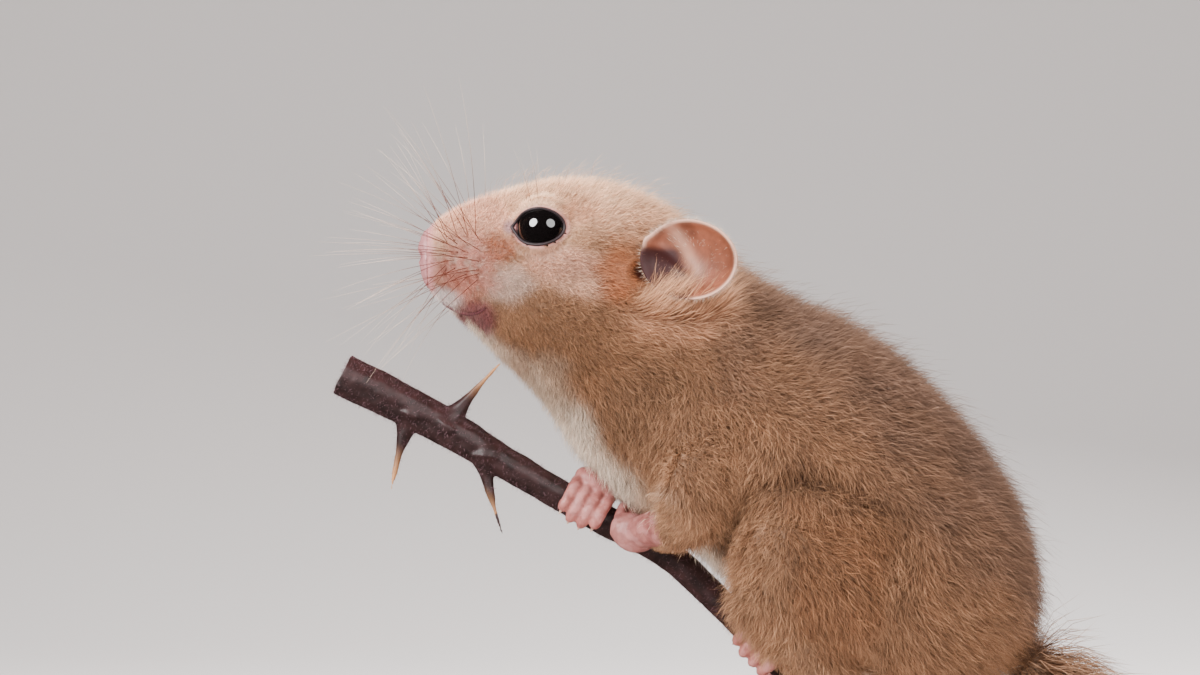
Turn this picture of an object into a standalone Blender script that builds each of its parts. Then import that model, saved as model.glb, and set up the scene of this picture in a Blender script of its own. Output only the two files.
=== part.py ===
"""A hazel dormouse holding a cut length of bramble stem, life size, on a plain display stand.

The animal faces -X and its left side is at -Y. The origin is the middle of the base's underside.
Sizes are written in millimetres, and each finished mesh is scaled to metres.
"""

import math

import bpy
import bmesh
from mathutils import Matrix, Vector

MM = 0.001
GAP = 0.3
SHARP_ANGLE = 50
CORNER_ALLOWANCE = 1.1  # moving a corner out by this much more than a gap moves its faces out by the gap
TUBE_END = [(0.0, 1.0), (0.35, 0.88), (0.75, 0.55)]  # a tube's rounded end: radii ahead, share of the radius

# Trunk. Each row is a cross-section: its upper point (x, z), its lower point (x, z), half its width,
# and how far up from the lower point it is widest.
TRUNK = [
    ("nose_tip", (-41.4, 88.7), (-41.2, 86.9), 1.1, 0.50),
    ("nose_pad", (-40.9, 90.1), (-40.8, 85.3), 2.2, 0.50),
    ("nose_root", (-39.7, 91.4), (-39.8, 83.8), 3.1, 0.45),
    ("whisker_pad", (-37.5, 92.8), (-38.0, 82.2), 4.2, 0.42),
    ("chin", (-34.6, 94.0), (-35.6, 80.0), 5.5, 0.42),
    ("eye_front", (-31.6, 94.9), (-33.4, 77.8), 6.8, 0.45),
    ("eye", (-28.4, 95.6), (-31.0, 75.5), 8.0, 0.45),
    ("crown", (-24.9, 95.8), (-28.9, 73.1), 9.0, 0.45),
    ("ear_front", (-20.8, 95.0), (-27.3, 70.7), 9.7, 0.45),
    ("ear", (-16.6, 93.2), (-25.9, 68.4), 9.9, 0.47),
    ("nape", (-12.4, 89.9), (-24.0, 66.0), 9.8, 0.48),
    ("neck", (-8.2, 86.6), (-21.7, 63.4), 10.6, 0.48),
    ("shoulders", (-3.2, 83.8), (-18.4, 61.0), 11.8, 0.47),
    ("chest", (2.2, 81.4), (-14.2, 58.2), 12.8, 0.45),
    ("waist", (7.8, 77.3), (-9.8, 54.4), 13.5, 0.43),
    ("hips", (12.9, 72.1), (-5.2, 49.6), 13.7, 0.42),
    ("rump", (17.5, 66.0), (-0.4, 44.8), 12.7, 0.42),
    ("rump_back", (20.2, 59.8), (5.6, 42.2), 10.4, 0.45),
    ("tail_head", (20.9, 54.2), (11.8, 42.6), 6.9, 0.50),
    ("tail_root", (19.8, 50.6), (16.2, 46.2), 3.0, 0.50),
]
TRUNK_SIDES = 24
RINGS_PER_STATION = 2
SQUARENESS = 2.15
NOSE_ENDS = 1.45
HEAD_ENDS = 10.25
NECK_ENDS = 11.7
CUT = 0.055  # this share of a station is the gap between two trunk pieces

# Eyes, and the lids round them. Each eye looks out, a little forward and a little up.
EYE_PLACE = (-28.75, 5.35, 90.4)
EYE_RADIUS = 2.75
EYE_AIM = (-0.26, 1.0, 0.10)
LID_RADII = (3.6, 2.85, 3.45)
LID_OPENING = (2.5, 1.9)
LID_CUT = 0.9  # how deep the opening is cut through the lids, as a share of their bulge
EYE_SIDES = 16
EYE_RINGS = 10

# Ears. The cup's long axis runs back and out from its front edge.
EAR_MIDDLE = (-14.5, 10.3, 87.3)
EAR_BACK = (0.90, 0.42, -0.08)
EAR_HALF_LENGTH = 4.9
EAR_HALF_WIDTH = 3.75
EAR_DEPTH = 1.7
EAR_THICKNESS = 0.6
EAR_ROWS = 3
EAR_SIDES = 18
EAR_HOLLOW_MIDDLE = (-18.4, 9.0, 86.3)
EAR_HOLLOW_RADII = (1.9, 1.7, 1.35)

# Mouth and nostrils. Stations along the trunk, and degrees up from the underside.
MOUTH_FRONT = 2.35
MOUTH_CORNER = 4.3
MOUTH_FRONT_ANGLE = 8.0
MOUTH_CORNER_ANGLE = 62.0
MOUTH_GROOVE = 0.32
NOSTRIL_MIDDLE = (-40.9, 1.15, 87.9)
NOSTRIL_RADII = (0.7, 0.38, 0.5)
NOSTRIL_TURN = 32.0
MOUTH_STEPS = 9
MOUTH_BEND = 0.8

# Whiskers, in rows from the top of the fan to its foot and in each row from the front back. The fan is
# in degrees round from straight back, over the top. Pairs run from the first row or whisker to the last.
WHISKER_ROWS = 4
WHISKERS_IN_ROW = 3
WHISKER_STATIONS = (2.7, 3.7)
WHISKER_ANGLES = (30.0, -4.0)
WHISKER_FAN = (106.0, 222.0)
WHISKER_SPREAD = 16.0
WHISKER_OUTWARD = (0.35, 0.8)
WHISKER_LENGTHS = (15.0, 21.0)
WHISKER_CURL = 10.0
WHISKER_SHAPE = ((0.0, 0.26), (0.4, 0.22), (0.75, 0.15), (1.0, 0.06))  # share of its length, radius
WHISKER_SINK = 0.8
WHISKER_SIDES = 3

# The stem's centre line (x, z), and its radius at each point.
STEM = [
    (-49.0, 76.0, 2.1),
    (-43.0, 73.1, 2.0),
    (-37.0, 69.8, 1.8),
    (-31.0, 66.2, 1.55),
    (-23.0, 61.6, 1.5),
    (-16.2, 57.9, 1.5),
    (-9.0, 51.0, 1.35),
    (-1.0, 42.6, 1.3),
    (7.2, 34.2, 1.3),
    (15.6, 25.8, 1.25),
]
STEM_LENGTH = 82.7
STEM_SEARCH = 200
NEARBY = 0.02  # the part of a row over which the stem's run is measured
STEM_SIDES = 10
STEM_RINGS = 24
PRICKLE_SHAPE = ((0.0, 1.0), (0.14, 0.66), (0.34, 0.42), (0.62, 0.24), (0.9, 0.1))  # share of length, of foot
PRICKLE_ROOT = 0.35  # where a prickle starts, as a share of the stem's radius
PRICKLE_BEND = 1.3
PRICKLE_SIDES = 8
# Each prickle: how far along the stem, degrees round it from its upper side, how far it leans
# towards the stem's upper end, its length and the radius of its foot.
PRICKLES = [
    (0.193, 8.0, -0.20, 7.8, 1.35),
    (0.276, 172.0, -0.95, 5.8, 1.30),
    (0.133, 176.0, -0.24, 7.6, 1.35),
    (0.93, 170.0, -0.30, 5.0, 0.95),
]

# Legs: x, distance out from the middle plane, z, radius in the side view, radius across.
FORELEG_LEFT = [
    (-9.5, 7.4, 71.0, 6.0, 4.6),
    (-13.0, 9.2, 65.5, 5.0, 3.4),
    (-15.0, 7.8, 61.6, 3.3, 2.6),
    (-16.2, 5.2, 60.4, 2.0, 1.9),
    (-17.2, 3.7, 60.2, 1.6, 1.6),
]
FORELEG_RIGHT = [
    (-10.5, 7.4, 71.5, 6.0, 4.6),
    (-15.0, 9.4, 67.2, 4.8, 3.4),
    (-19.0, 7.4, 65.3, 3.0, 2.6),
    (-20.8, 4.3, 65.0, 2.0, 1.9),
    (-21.9, 2.5, 65.1, 1.6, 1.6),
]
HINDLEG_LEFT = [
    (-6.6, 10.2, 54.6, 4.9, 3.6),
    (-3.4, 9.6, 50.2, 3.9, 3.2),
    (0.2, 7.6, 45.0, 2.8, 2.4),
    (2.6, 5.4, 40.9, 1.9, 1.8),
]
HINDLEG_RIGHT = [
    (-3.0, 10.2, 52.6, 4.9, 3.6),
    (0.4, 9.6, 48.0, 3.9, 3.2),
    (3.4, 7.6, 42.2, 2.8, 2.4),
    (5.6, 5.4, 37.8, 1.9, 1.8),
]
# Thighs: the middle (x, distance out, z) and the radii along the trunk, across and square to it.
THIGH_LEFT = (-1.6, 9.0, 57.2)
THIGH_RIGHT = (1.8, 9.0, 55.2)
THIGH_RADII = (10.6, 5.6, 8.6)
THIGH_TILT = 34.0
LEG_SIDES = 12
LEG_RINGS = 10

# Feet. How far along the stem each one holds it, as a share of its length.
HAND_LEFT_AT = 0.495
HAND_RIGHT_AT = 0.417
HAND_LEFT_TURN = 42
HAND_RIGHT_TURN = -12
HAND_RADII = (2.4, 1.9, 1.6)
HAND_SINK = 0.8  # how far out the hand's middle lies, as a share of its own radius
HAND_ROOM = (4.2, 2.8, 2.3)
FOOT_LEFT_AT = 0.716
FOOT_RIGHT_AT = 0.763
FOOT_LENGTH = 10.4
FOOT_RADII = (1.5, 1.15)
FOOT_STEPS = 6
FOOT_TURN = 52
KNUCKLE_TURN = 14
FOOT_ROOM = 2.3
FINGERS = 4
FINGER_RADIUS = 0.64
FINGER_STEP = 1.2
FINGER_ROOTS = 0.7  # how close the fingers' roots lie, as a share of their spacing
FINGER_START = 22
FINGER_REACH = 130
OUTER_FINGER_REACH = 112
TOES = 5
TOE_RADIUS = 0.68
TOE_STEP = 1.32
TOE_AHEAD = 0.9
TOE_ROOTS = 0.55
TOE_SWEEP = (72, 144)
LAST_TOE_SWEEP = (72, 130)
FIRST_TOE_SWEEP = (36, 22)
HEEL_SIZES = (1.12, 0.85)  # the heel's radii, as shares of the foot's, in the side view and across
SOLE_CLEARANCE = 0.25
SOLE_SIDES = 10
ROOM_SIDES = 16
CLAW_LENGTH = 1.0
CLAW_RADII = (0.42, 0.15)  # half-way along it and at its tip, as shares of the digit's radius
CLAW_LIFT = 0.1
DIGIT_SIDES = 6
DIGIT_STEPS = 4
DIGIT_ROOT = 1.05
DIGIT_TAPER = 0.22

# Tail: degrees below level at its root, its middle and its tip, and the sway to the left.
TAIL_LENGTH = 62.0
TAIL_ROOT = (17.9, 0.0, 48.5)
TAIL_DROOP = (44.0, 50.0, 16.0)
TAIL_SWAY = 9.0
TAIL_CORE = [(0.0, 2.4), (0.1, 2.5), (0.5, 2.4), (0.88, 1.8), (1.0, 0.9)]
TAIL_SIDES = 9
TAIL_RINGS = 15
LOCK_ROWS = 11
LOCKS_IN_ROW = 6
LOCK_LENGTH = 9.5
LOCK_WIDTH = 3.5
LOCK_THICKNESS = 0.9
LOCK_RISE = 2.2
LOCK_SINK = 0.7
LOCK_SHAPE = ((0.0, 0.8, 1.0), (0.45, 1.0, 0.9), (1.0, 0.1, 0.35))  # share of length, width, thickness
LOCK_LIFT = 0.75  # below 1, so that a lock rises early and then lies back
LOCK_START = 0.1  # where a row's locks leave the core, as a share of the row
LOCK_TURN = 0.16
LOCK_VARY = 0.1
RISE_VARY = 0.3
TIP_FALL = 0.35  # how much lower the locks lie at the tail's tip
VARY_STEPS = (12.9, 4.7)

# Stand.
BASE_LENGTH = 104.0
BASE_WIDTH = 52.0
BASE_HEIGHT = 4.0
BASE_EDGE = 0.8
BASE_SIDES = 48
ROD_X = 3.0
ROD_RADIUS = 1.5
ROD_SIDES = 16

COLOURS = {
    "coat": ((0.52, 0.27, 0.12, 1.0), 0.85),
    "bare_skin": ((0.62, 0.32, 0.29, 1.0), 0.6),
    "eye": ((0.01, 0.01, 0.012, 1.0), 0.08),
    "bramble": ((0.12, 0.05, 0.05, 1.0), 0.65),
    "base_wood": ((0.10, 0.05, 0.03, 1.0), 0.45),
    "rod_metal": ((0.55, 0.50, 0.42, 1.0), 0.35),
}


def clear_scene():
    for obj in list(bpy.data.objects):
        bpy.data.objects.remove(obj)


def material(name):
    """The Principled material of one finish, made once."""
    if name in bpy.data.materials:
        return bpy.data.materials[name]
    made = bpy.data.materials.new(name)
    made.use_nodes = True
    shader = made.node_tree.nodes["Principled BSDF"]
    colour, roughness = COLOURS[name]
    shader.inputs["Base Color"].default_value = colour
    shader.inputs["Roughness"].default_value = roughness
    shader.inputs["Metallic"].default_value = 1.0 if name == "rod_metal" else 0.0
    return made


def smooth_read(rows, t):
    """A Catmull-Rom curve through equally spaced rows of numbers, read at t rows from the first."""
    last = len(rows) - 1
    t = min(max(t, 0.0), last)
    i = min(int(t), last - 1)
    f = t - i
    a, b, c, d = (rows[min(max(i + k, 0), last)] for k in (-1, 0, 1, 2))
    out = []
    for p, q, r, s in zip(a, b, c, d):
        bend = (2 * p - 5 * q + 4 * r - s) * f * f + (3 * q - p - 3 * r + s) * f ** 3
        out.append(q + 0.5 * ((r - p) * f + bend))
    return out


def new_object(name, bm):
    mesh = bpy.data.meshes.new(name)
    bmesh.ops.recalc_face_normals(bm, faces=bm.faces)
    bm.to_mesh(mesh)
    bm.free()
    obj = bpy.data.objects.new(name, mesh)
    bpy.context.scene.collection.objects.link(obj)
    return obj


def loft(name, rings):
    """A closed skin over rings of points, with a flat face on each end."""
    bm = bmesh.new()
    made = [[bm.verts.new(p) for p in ring] for ring in rings]
    for first, second in zip(made, made[1:]):
        for i in range(len(first)):
            j = (i + 1) % len(first)
            bm.faces.new((first[i], first[j], second[j], second[i]))
    bm.faces.new(made[0])
    bm.faces.new(made[-1])
    return new_object(name, bm)


def settle(obj):
    """Puts the evaluated mesh in place of the object's own, and drops its modifiers."""
    bpy.context.view_layer.update()
    graph = bpy.context.evaluated_depsgraph_get()
    mesh = bpy.data.meshes.new_from_object(obj.evaluated_get(graph))
    obj.modifiers.clear()
    obj.data = mesh
    return obj


def combine(target, others, operation, solver="EXACT"):
    """One Boolean of the target with all the others, which are then removed."""
    group = bpy.data.collections.new("operands")
    bpy.context.scene.collection.children.link(group)
    for other in others:
        bpy.context.scene.collection.objects.unlink(other)
        group.objects.link(other)
    modifier = target.modifiers.new("join", "BOOLEAN")
    modifier.operation = operation
    modifier.operand_type = "COLLECTION"
    modifier.solver = solver
    modifier.collection = group
    settle(target)
    for other in others:
        bpy.data.objects.remove(other)
    bpy.data.collections.remove(group)
    return target


def keep_largest(obj):
    """Leaves the object's largest closed surface and drops the rest."""
    bm = bmesh.new()
    bm.from_mesh(obj.data)
    bm.verts.ensure_lookup_table()
    unseen = set(bm.verts)
    shells = []
    while unseen:
        shell = set()
        edge_of_search = [unseen.pop()]
        while edge_of_search:
            vert = edge_of_search.pop()
            shell.add(vert)
            for edge in vert.link_edges:
                other = edge.other_vert(vert)
                if other in unseen:
                    unseen.remove(other)
                    edge_of_search.append(other)
        shells.append(shell)
    largest = max(shells, key=lambda s: sum(f.calc_area() for f in {f for v in s for f in v.link_faces}))
    bmesh.ops.delete(bm, geom=[v for v in bm.verts if v not in largest], context="VERTS")
    bm.to_mesh(obj.data)
    bm.free()
    return obj


def grown(obj):
    """A copy of the object's mesh, moved out along its normals by a gap, to cut a neighbour with."""
    bm = bmesh.new()
    bm.from_mesh(obj.data)
    bm.normal_update()
    moves = [(vert, vert.co + vert.normal * GAP * CORNER_ALLOWANCE) for vert in bm.verts]
    for vert, place in moves:
        vert.co = place
    return new_object("grown_" + obj.name, bm)


def ellipsoid(name, middle, radii, turn=None, segments=16, rings=10):
    """A ball of three radii, turned by a 3x3 matrix whose columns are its axes."""
    bm = bmesh.new()
    bmesh.ops.create_uvsphere(bm, u_segments=segments, v_segments=rings, radius=1.0)
    place = Matrix.Diagonal((*radii, 1.0))
    if turn:
        place = turn.to_4x4() @ place
    bmesh.ops.transform(bm, matrix=Matrix.Translation(middle) @ place, verts=bm.verts)
    return new_object(name, bm)


def tube(name, points, radii, sides, across=None):
    """A round-ended tube along points. radii are in the side view, and across are its radii along Y."""
    across = across or radii
    points = [Vector(p) for p in points]
    side = Vector((0, 1, 0))
    rings = []
    for i, point in enumerate(points):
        along = (points[min(i + 1, len(points) - 1)] - points[max(i - 1, 0)]).normalized()
        side = side - along * along.dot(side)
        if side.length < 0.3:
            side = Vector((1, 0, 0)) - along * along.x
        side.normalize()
        up = along.cross(side)
        sizes = [(0.0, 1.0)]
        if i == 0:
            sizes = [(-shift, size) for shift, size in reversed(TUBE_END)]
        if i == len(points) - 1:
            sizes = TUBE_END
        for shift, size in sizes:
            middle = point + along * radii[i] * shift
            ring = []
            for k in range(sides):
                angle = 2 * math.pi * k / sides
                wide = side * across[i] * size * math.cos(angle)
                ring.append(middle + wide + up * radii[i] * size * math.sin(angle))
            rings.append(ring)
    return loft(name, rings)


# The trunk

TRUNK_ROWS = [(*top, *low, half, belt) for _, top, low, half, belt in TRUNK]
LAST_STATION = len(TRUNK) - 1


def trunk_point(t, angle, grow=0.0):
    """The trunk's surface at station t. The angle runs from 0 at the left side, over the back at 90 degrees."""
    top_x, top_z, low_x, low_z, half, belt = smooth_read(TRUNK_ROWS, t)
    top = Vector((top_x, 0, top_z))
    low = Vector((low_x, 0, low_z))
    up = (top - low).normalized()
    middle = low.lerp(top, belt)
    rise = math.sin(angle)
    reach = math.cos(angle)
    power = 2 / SQUARENESS
    height = (top - middle).length if rise > 0 else (middle - low).length
    upward = math.copysign(abs(rise) ** power, rise) * (height + grow)
    outward = math.copysign(abs(reach) ** power, reach) * (half + grow)
    return middle + up * upward + Vector((0, -outward, 0))


def trunk_ring(t, grow=0.0):
    return [trunk_point(t, 2 * math.pi * k / TRUNK_SIDES, grow) for k in range(TRUNK_SIDES)]


def trunk_piece(name, start, end, grow=0.0):
    """The trunk between two stations, closed by flat faces."""
    steps = max(2, round((end - start) * RINGS_PER_STATION))
    return loft(name, [trunk_ring(start + (end - start) * i / steps, grow) for i in range(steps + 1)])


def trunk_cutter(name):
    """The whole trunk, one gap larger, which trims what grows from it."""
    return trunk_piece(name, 0, LAST_STATION, GAP)


def mirrored(point, side):
    """A point given on the left, at +distance from the middle plane, for side -1 left or 1 right."""
    return Vector((point[0], point[1] * side, point[2]))


def cut_away(obj, cutters):
    """Cuts the object with each cutter in turn."""
    for cutter in cutters:
        combine(obj, [cutter], "DIFFERENCE", "MANIFOLD")
    return keep_largest(obj)


def make_nose():
    nose = trunk_piece("nose", 0, NOSE_ENDS - CUT)
    cutters = []
    for side in (-1, 1):
        turn = Matrix.Rotation(math.radians(NOSTRIL_TURN * side), 3, "Z")
        cutters.append(ellipsoid("nostril", mirrored(NOSTRIL_MIDDLE, side), NOSTRIL_RADII, turn, 10, 6))
    return keep_largest(combine(nose, cutters, "DIFFERENCE"))


def mouth_cutter():
    """The line of the mouth, from one corner round the front to the other."""
    path = []
    for k in (k for k in range(-MOUTH_STEPS, MOUTH_STEPS + 1) if k != 0):
        share = abs(k) / MOUTH_STEPS
        t = MOUTH_FRONT + (MOUTH_CORNER - MOUTH_FRONT) * share ** MOUTH_BEND
        lift = MOUTH_FRONT_ANGLE + (MOUTH_CORNER_ANGLE - MOUTH_FRONT_ANGLE) * share
        side = -1 if k < 0 else 1
        path.append(trunk_point(t, math.radians(-90 - side * lift)))
    return tube("mouth_cutter", path, [MOUTH_GROOVE] * len(path), 6)


def eye_frame(side):
    """The eye's middle, and its axes: forward, outward along its aim, and upward."""
    aim = mirrored(EYE_AIM, side).normalized()
    forward = (Vector((1, 0, 0)) - aim * aim.x).normalized()
    return mirrored(EYE_PLACE, side), Matrix((forward, aim, forward.cross(aim))).transposed()


def between(pair, share):
    return pair[0] + (pair[1] - pair[0]) * share


def whisker(down, back, side):
    """A tapered whisker. down runs from 0 at the top of the fan to 1, and back from 0 at the front to 1."""
    angle = math.radians(between(WHISKER_ANGLES, down))
    root = trunk_point(between(WHISKER_STATIONS, back), angle)
    point = mirrored((root.x, abs(root.y), root.z), side)
    heading = between(WHISKER_FAN, down) + WHISKER_SPREAD * (0.5 - back)
    outward = between(WHISKER_OUTWARD, back) * side
    length = between(WHISKER_LENGTHS, back)
    rings = []
    reached = 0.0
    for share, radius in WHISKER_SHAPE:
        turned = math.radians(heading + WHISKER_CURL * share)
        run = Vector((math.cos(turned), outward, math.sin(turned))).normalized()
        point = point + run * length * (share - reached)
        reached = share
        across = run.cross(Vector((math.sin(turned), 0, -math.cos(turned)))).normalized()
        up = run.cross(across)
        middle = point - run * (WHISKER_SINK if share == 0.0 else 0.0)
        ring = []
        for k in range(WHISKER_SIDES):
            round_it = 2 * math.pi * k / WHISKER_SIDES
            ring.append(middle + across * radius * math.cos(round_it) + up * radius * math.sin(round_it))
        rings.append(ring)
    return loft("whisker", rings)


def make_whiskers():
    whiskers = []
    for side in (-1, 1):
        for row in range(WHISKER_ROWS):
            for k in range(WHISKERS_IN_ROW):
                whiskers.append(whisker(row / (WHISKER_ROWS - 1), k / (WHISKERS_IN_ROW - 1), side))
    return whiskers


def make_head():
    """The head: lids built up round each eye, the sockets, mouth and ear hollows cut in, and its whiskers."""
    head = trunk_piece("head", NOSE_ENDS, HEAD_ENDS - CUT)
    lids = []
    cuts = [mouth_cutter()]
    socket = EYE_RADIUS + GAP
    for side in (-1, 1):
        eye, turn = eye_frame(side)
        lids.append(ellipsoid("lid", eye, LID_RADII, turn, 20, 12))
        cuts.append(ellipsoid("socket", eye, [socket] * 3, turn, EYE_SIDES, EYE_RINGS))
        opening = (LID_OPENING[0], LID_RADII[1] * LID_CUT, LID_OPENING[1])
        cuts.append(ellipsoid("opening", eye + turn.col[1] * LID_RADII[1], opening, turn, EYE_SIDES, 8))
        cuts.append(ellipsoid("ear_hollow", mirrored(EAR_HOLLOW_MIDDLE, side), EAR_HOLLOW_RADII, None, 12, 8))
    combine(head, lids, "UNION")
    combine(head, cuts, "DIFFERENCE")
    return keep_largest(combine(head, make_whiskers(), "UNION", "MANIFOLD"))


def make_eye(side):
    eye, turn = eye_frame(side)
    name = "eye_left" if side < 0 else "eye_right"
    return ellipsoid(name, eye, [EYE_RADIUS] * 3, turn, EYE_SIDES, EYE_RINGS)


def make_ear(side):
    """A shallow cup on an oval rim, whose front edge is sunk in the head and trimmed to it."""
    back = mirrored(EAR_BACK, side).normalized()
    middle = mirrored(EAR_MIDDLE, side)
    up = (Vector((0, 0, 1)) - back * back.z).normalized()
    face = back.cross(up) * -side
    bm = bmesh.new()
    centre = bm.verts.new(middle - face * EAR_DEPTH)
    rings = []
    for row in range(1, EAR_ROWS + 1):
        share = row / EAR_ROWS
        ring = []
        for k in range(EAR_SIDES):
            angle = 2 * math.pi * k / EAR_SIDES
            flat = back * EAR_HALF_LENGTH * share * math.cos(angle)
            flat += up * EAR_HALF_WIDTH * share * math.sin(angle)
            ring.append(bm.verts.new(middle + flat - face * EAR_DEPTH * (1 - share ** 2)))
        rings.append(ring)
    for k in range(EAR_SIDES):
        j = (k + 1) % EAR_SIDES
        bm.faces.new((centre, rings[0][k], rings[0][j]))
        for inner, outer in zip(rings, rings[1:]):
            bm.faces.new((inner[k], outer[k], outer[j], inner[j]))
    ear = new_object("ear_left" if side < 0 else "ear_right", bm)
    shell = ear.modifiers.new("thickness", "SOLIDIFY")
    shell.thickness = EAR_THICKNESS
    shell.offset = 0.0
    settle(ear)
    return keep_largest(combine(ear, [trunk_cutter("ear_cutter")], "DIFFERENCE"))


# The stem

def stem_frame(share):
    """The stem's centre, radius, run towards its lower end, and upper side, at a share of its length."""
    t = share * (len(STEM) - 1)
    x, z, radius = smooth_read(STEM, t)
    x0, z0, _ = smooth_read(STEM, t - NEARBY)
    x1, z1, _ = smooth_read(STEM, t + NEARBY)
    run = Vector((x1 - x0, 0, z1 - z0)).normalized()
    upper = Vector((-run.z, 0, run.x))
    return Vector((x, 0, z)), radius, run, upper


def round_stem(share, degrees, distance, ahead=0.0):
    """A point beside the stem: degrees round it from its upper side to the left, and so far from its middle."""
    centre, _, run, upper = stem_frame(share)
    angle = math.radians(degrees)
    return centre + run * ahead + upper * math.cos(angle) * distance + Vector((0, -math.sin(angle) * distance, 0))


def stem_body(name, grow=0.0):
    rings = []
    for i in range(STEM_RINGS + 1):
        centre, radius, _, upper = stem_frame(i / STEM_RINGS)
        radius += grow
        ring = []
        for k in range(STEM_SIDES):
            angle = 2 * math.pi * k / STEM_SIDES
            ring.append(centre + upper * radius * math.cos(angle) + Vector((0, radius * math.sin(angle), 0)))
        rings.append(ring)
    return loft(name, rings)


def prickle(share, degrees, lean, length, foot):
    """A prickle with a wide foot, which curves a little as it narrows to its point."""
    centre, radius, run, upper = stem_frame(share)
    angle = math.radians(degrees)
    out = upper * math.cos(angle) + Vector((0, -math.sin(angle), 0))
    points = []
    radii = []
    for along, width in PRICKLE_SHAPE:
        reach = radius * PRICKLE_ROOT + length * along
        points.append(centre + out * reach - run * lean * length * along ** PRICKLE_BEND)
        radii.append(foot * width)
    return tube("prickle", points, radii, PRICKLE_SIDES)


def make_stem():
    stem = stem_body("perch_stem")
    prickles = [prickle(*row) for row in PRICKLES]
    return keep_largest(combine(stem, prickles, "UNION"))


def stem_cutter():
    return stem_body("stem_cutter", GAP)


# Legs and feet

def make_leg(name, rows, side, end, thigh=None):
    """One leg down to its wrist or heel, trimmed to the trunk, to the stem and to the foot at its end."""
    last = len(rows) - 1
    points = []
    radii = []
    across = []
    for i in range(LEG_RINGS + 1):
        x, y, z, radius, wide = smooth_read(rows, last * i / LEG_RINGS)
        points.append(mirrored((x, y, z), side))
        radii.append(radius)
        across.append(wide)
    leg = tube(name, points, radii, LEG_SIDES, across)
    if thigh:
        turn = Matrix.Rotation(math.radians(THIGH_TILT), 3, "Y")
        haunch = ellipsoid("thigh", mirrored(thigh, side), THIGH_RADII, turn, 20, 12)
        combine(leg, [haunch], "UNION")
    return cut_away(leg, [trunk_cutter("leg_cutter"), stem_cutter(), grown(end)])


def digit(share, start, ahead, sweep, radius):
    """A finger or toe from its knuckle, bent round the stem, narrowing to its claw."""
    centre, stem_radius, run, _ = stem_frame(share)
    distance = stem_radius + GAP + radius
    points = [start]
    radii = [radius * DIGIT_ROOT]
    first, last = sweep
    for i in range(DIGIT_STEPS + 1):
        degrees = first + (last - first) * i / DIGIT_STEPS
        points.append(round_stem(share, degrees, distance, ahead))
        radii.append(radius * (1.0 - DIGIT_TAPER * i / DIGIT_STEPS))
    tip = points[-1]
    forward = (points[-1] - points[-2]).normalized()
    away = (tip - centre - run * ahead).normalized()
    points.append(tip + forward * CLAW_LENGTH / 2 + away * CLAW_LIFT)
    points.append(tip + forward * CLAW_LENGTH)
    radii += [radius * share for share in CLAW_RADII]
    return tube("digit", points, radii, DIGIT_SIDES)


def hand_place(share, turned):
    """The middle of a forefoot's back, and its axes: along the stem, round it, and out from it."""
    _, stem_radius, run, _ = stem_frame(share)
    middle = round_stem(share, turned, stem_radius + HAND_RADII[2] * HAND_SINK)
    out = (middle - stem_frame(share)[0]).normalized()
    return middle, Matrix((run, out.cross(run), out)).transposed()


def hand_rooms(share, turned):
    """The room that a forefoot and its fingers need in the fur of the chest."""
    middle, turn = hand_place(share, turned)
    centre, stem_radius, run, _ = stem_frame(share)
    radius = stem_radius + 2 * (GAP + FINGER_RADIUS)
    ends = [centre - run * FINGER_STEP * 2, centre, centre + run * FINGER_STEP * 2]
    return [
        ellipsoid("palm_room", middle, HAND_ROOM, turn),
        tube("finger_room", ends, [radius] * len(ends), ROOM_SIDES),
    ]


def make_hand(name, share, turned, side):
    """A forefoot closed on the stem: its back lies over the stem and the fingers bend round the far side."""
    middle, turn = hand_place(share, turned)
    run = turn.col[0]
    hand = ellipsoid(name, middle, HAND_RADII, turn)
    fingers = []
    for i in range(FINGERS):
        ahead = FINGER_STEP * (i - (FINGERS - 1) / 2)
        start = middle + run * ahead * FINGER_ROOTS
        reach = OUTER_FINGER_REACH if i in (0, FINGERS - 1) else FINGER_REACH
        sweep = (turned + FINGER_START * side, turned + reach * side)
        fingers.append(digit(share, start, ahead, sweep, FINGER_RADIUS))
    combine(hand, fingers, "UNION")
    return keep_largest(combine(hand, [stem_cutter()], "DIFFERENCE"))


def foot_path(share, side, past=0.0):
    """Points along a hind foot beside the stem, from its heel to its knuckles and past them."""
    stem_radius = stem_frame(share)[1]
    distance = stem_radius + GAP + FOOT_RADII[1] + SOLE_CLEARANCE
    points = []
    for i in range(FOOT_STEPS + 1):
        along = FOOT_LENGTH - (FOOT_LENGTH + past) * i / FOOT_STEPS
        turned = (FOOT_TURN - KNUCKLE_TURN * i / FOOT_STEPS) * -side
        points.append(round_stem(share + along / STEM_LENGTH, turned, distance))
    return points


def foot_room(share, side):
    """The room that a hind foot needs in the fur of the belly."""
    path = foot_path(share, side, FOOT_LENGTH / 2)
    return tube("foot_room", path, [FOOT_ROOM] * len(path), ROOM_SIDES)


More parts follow.
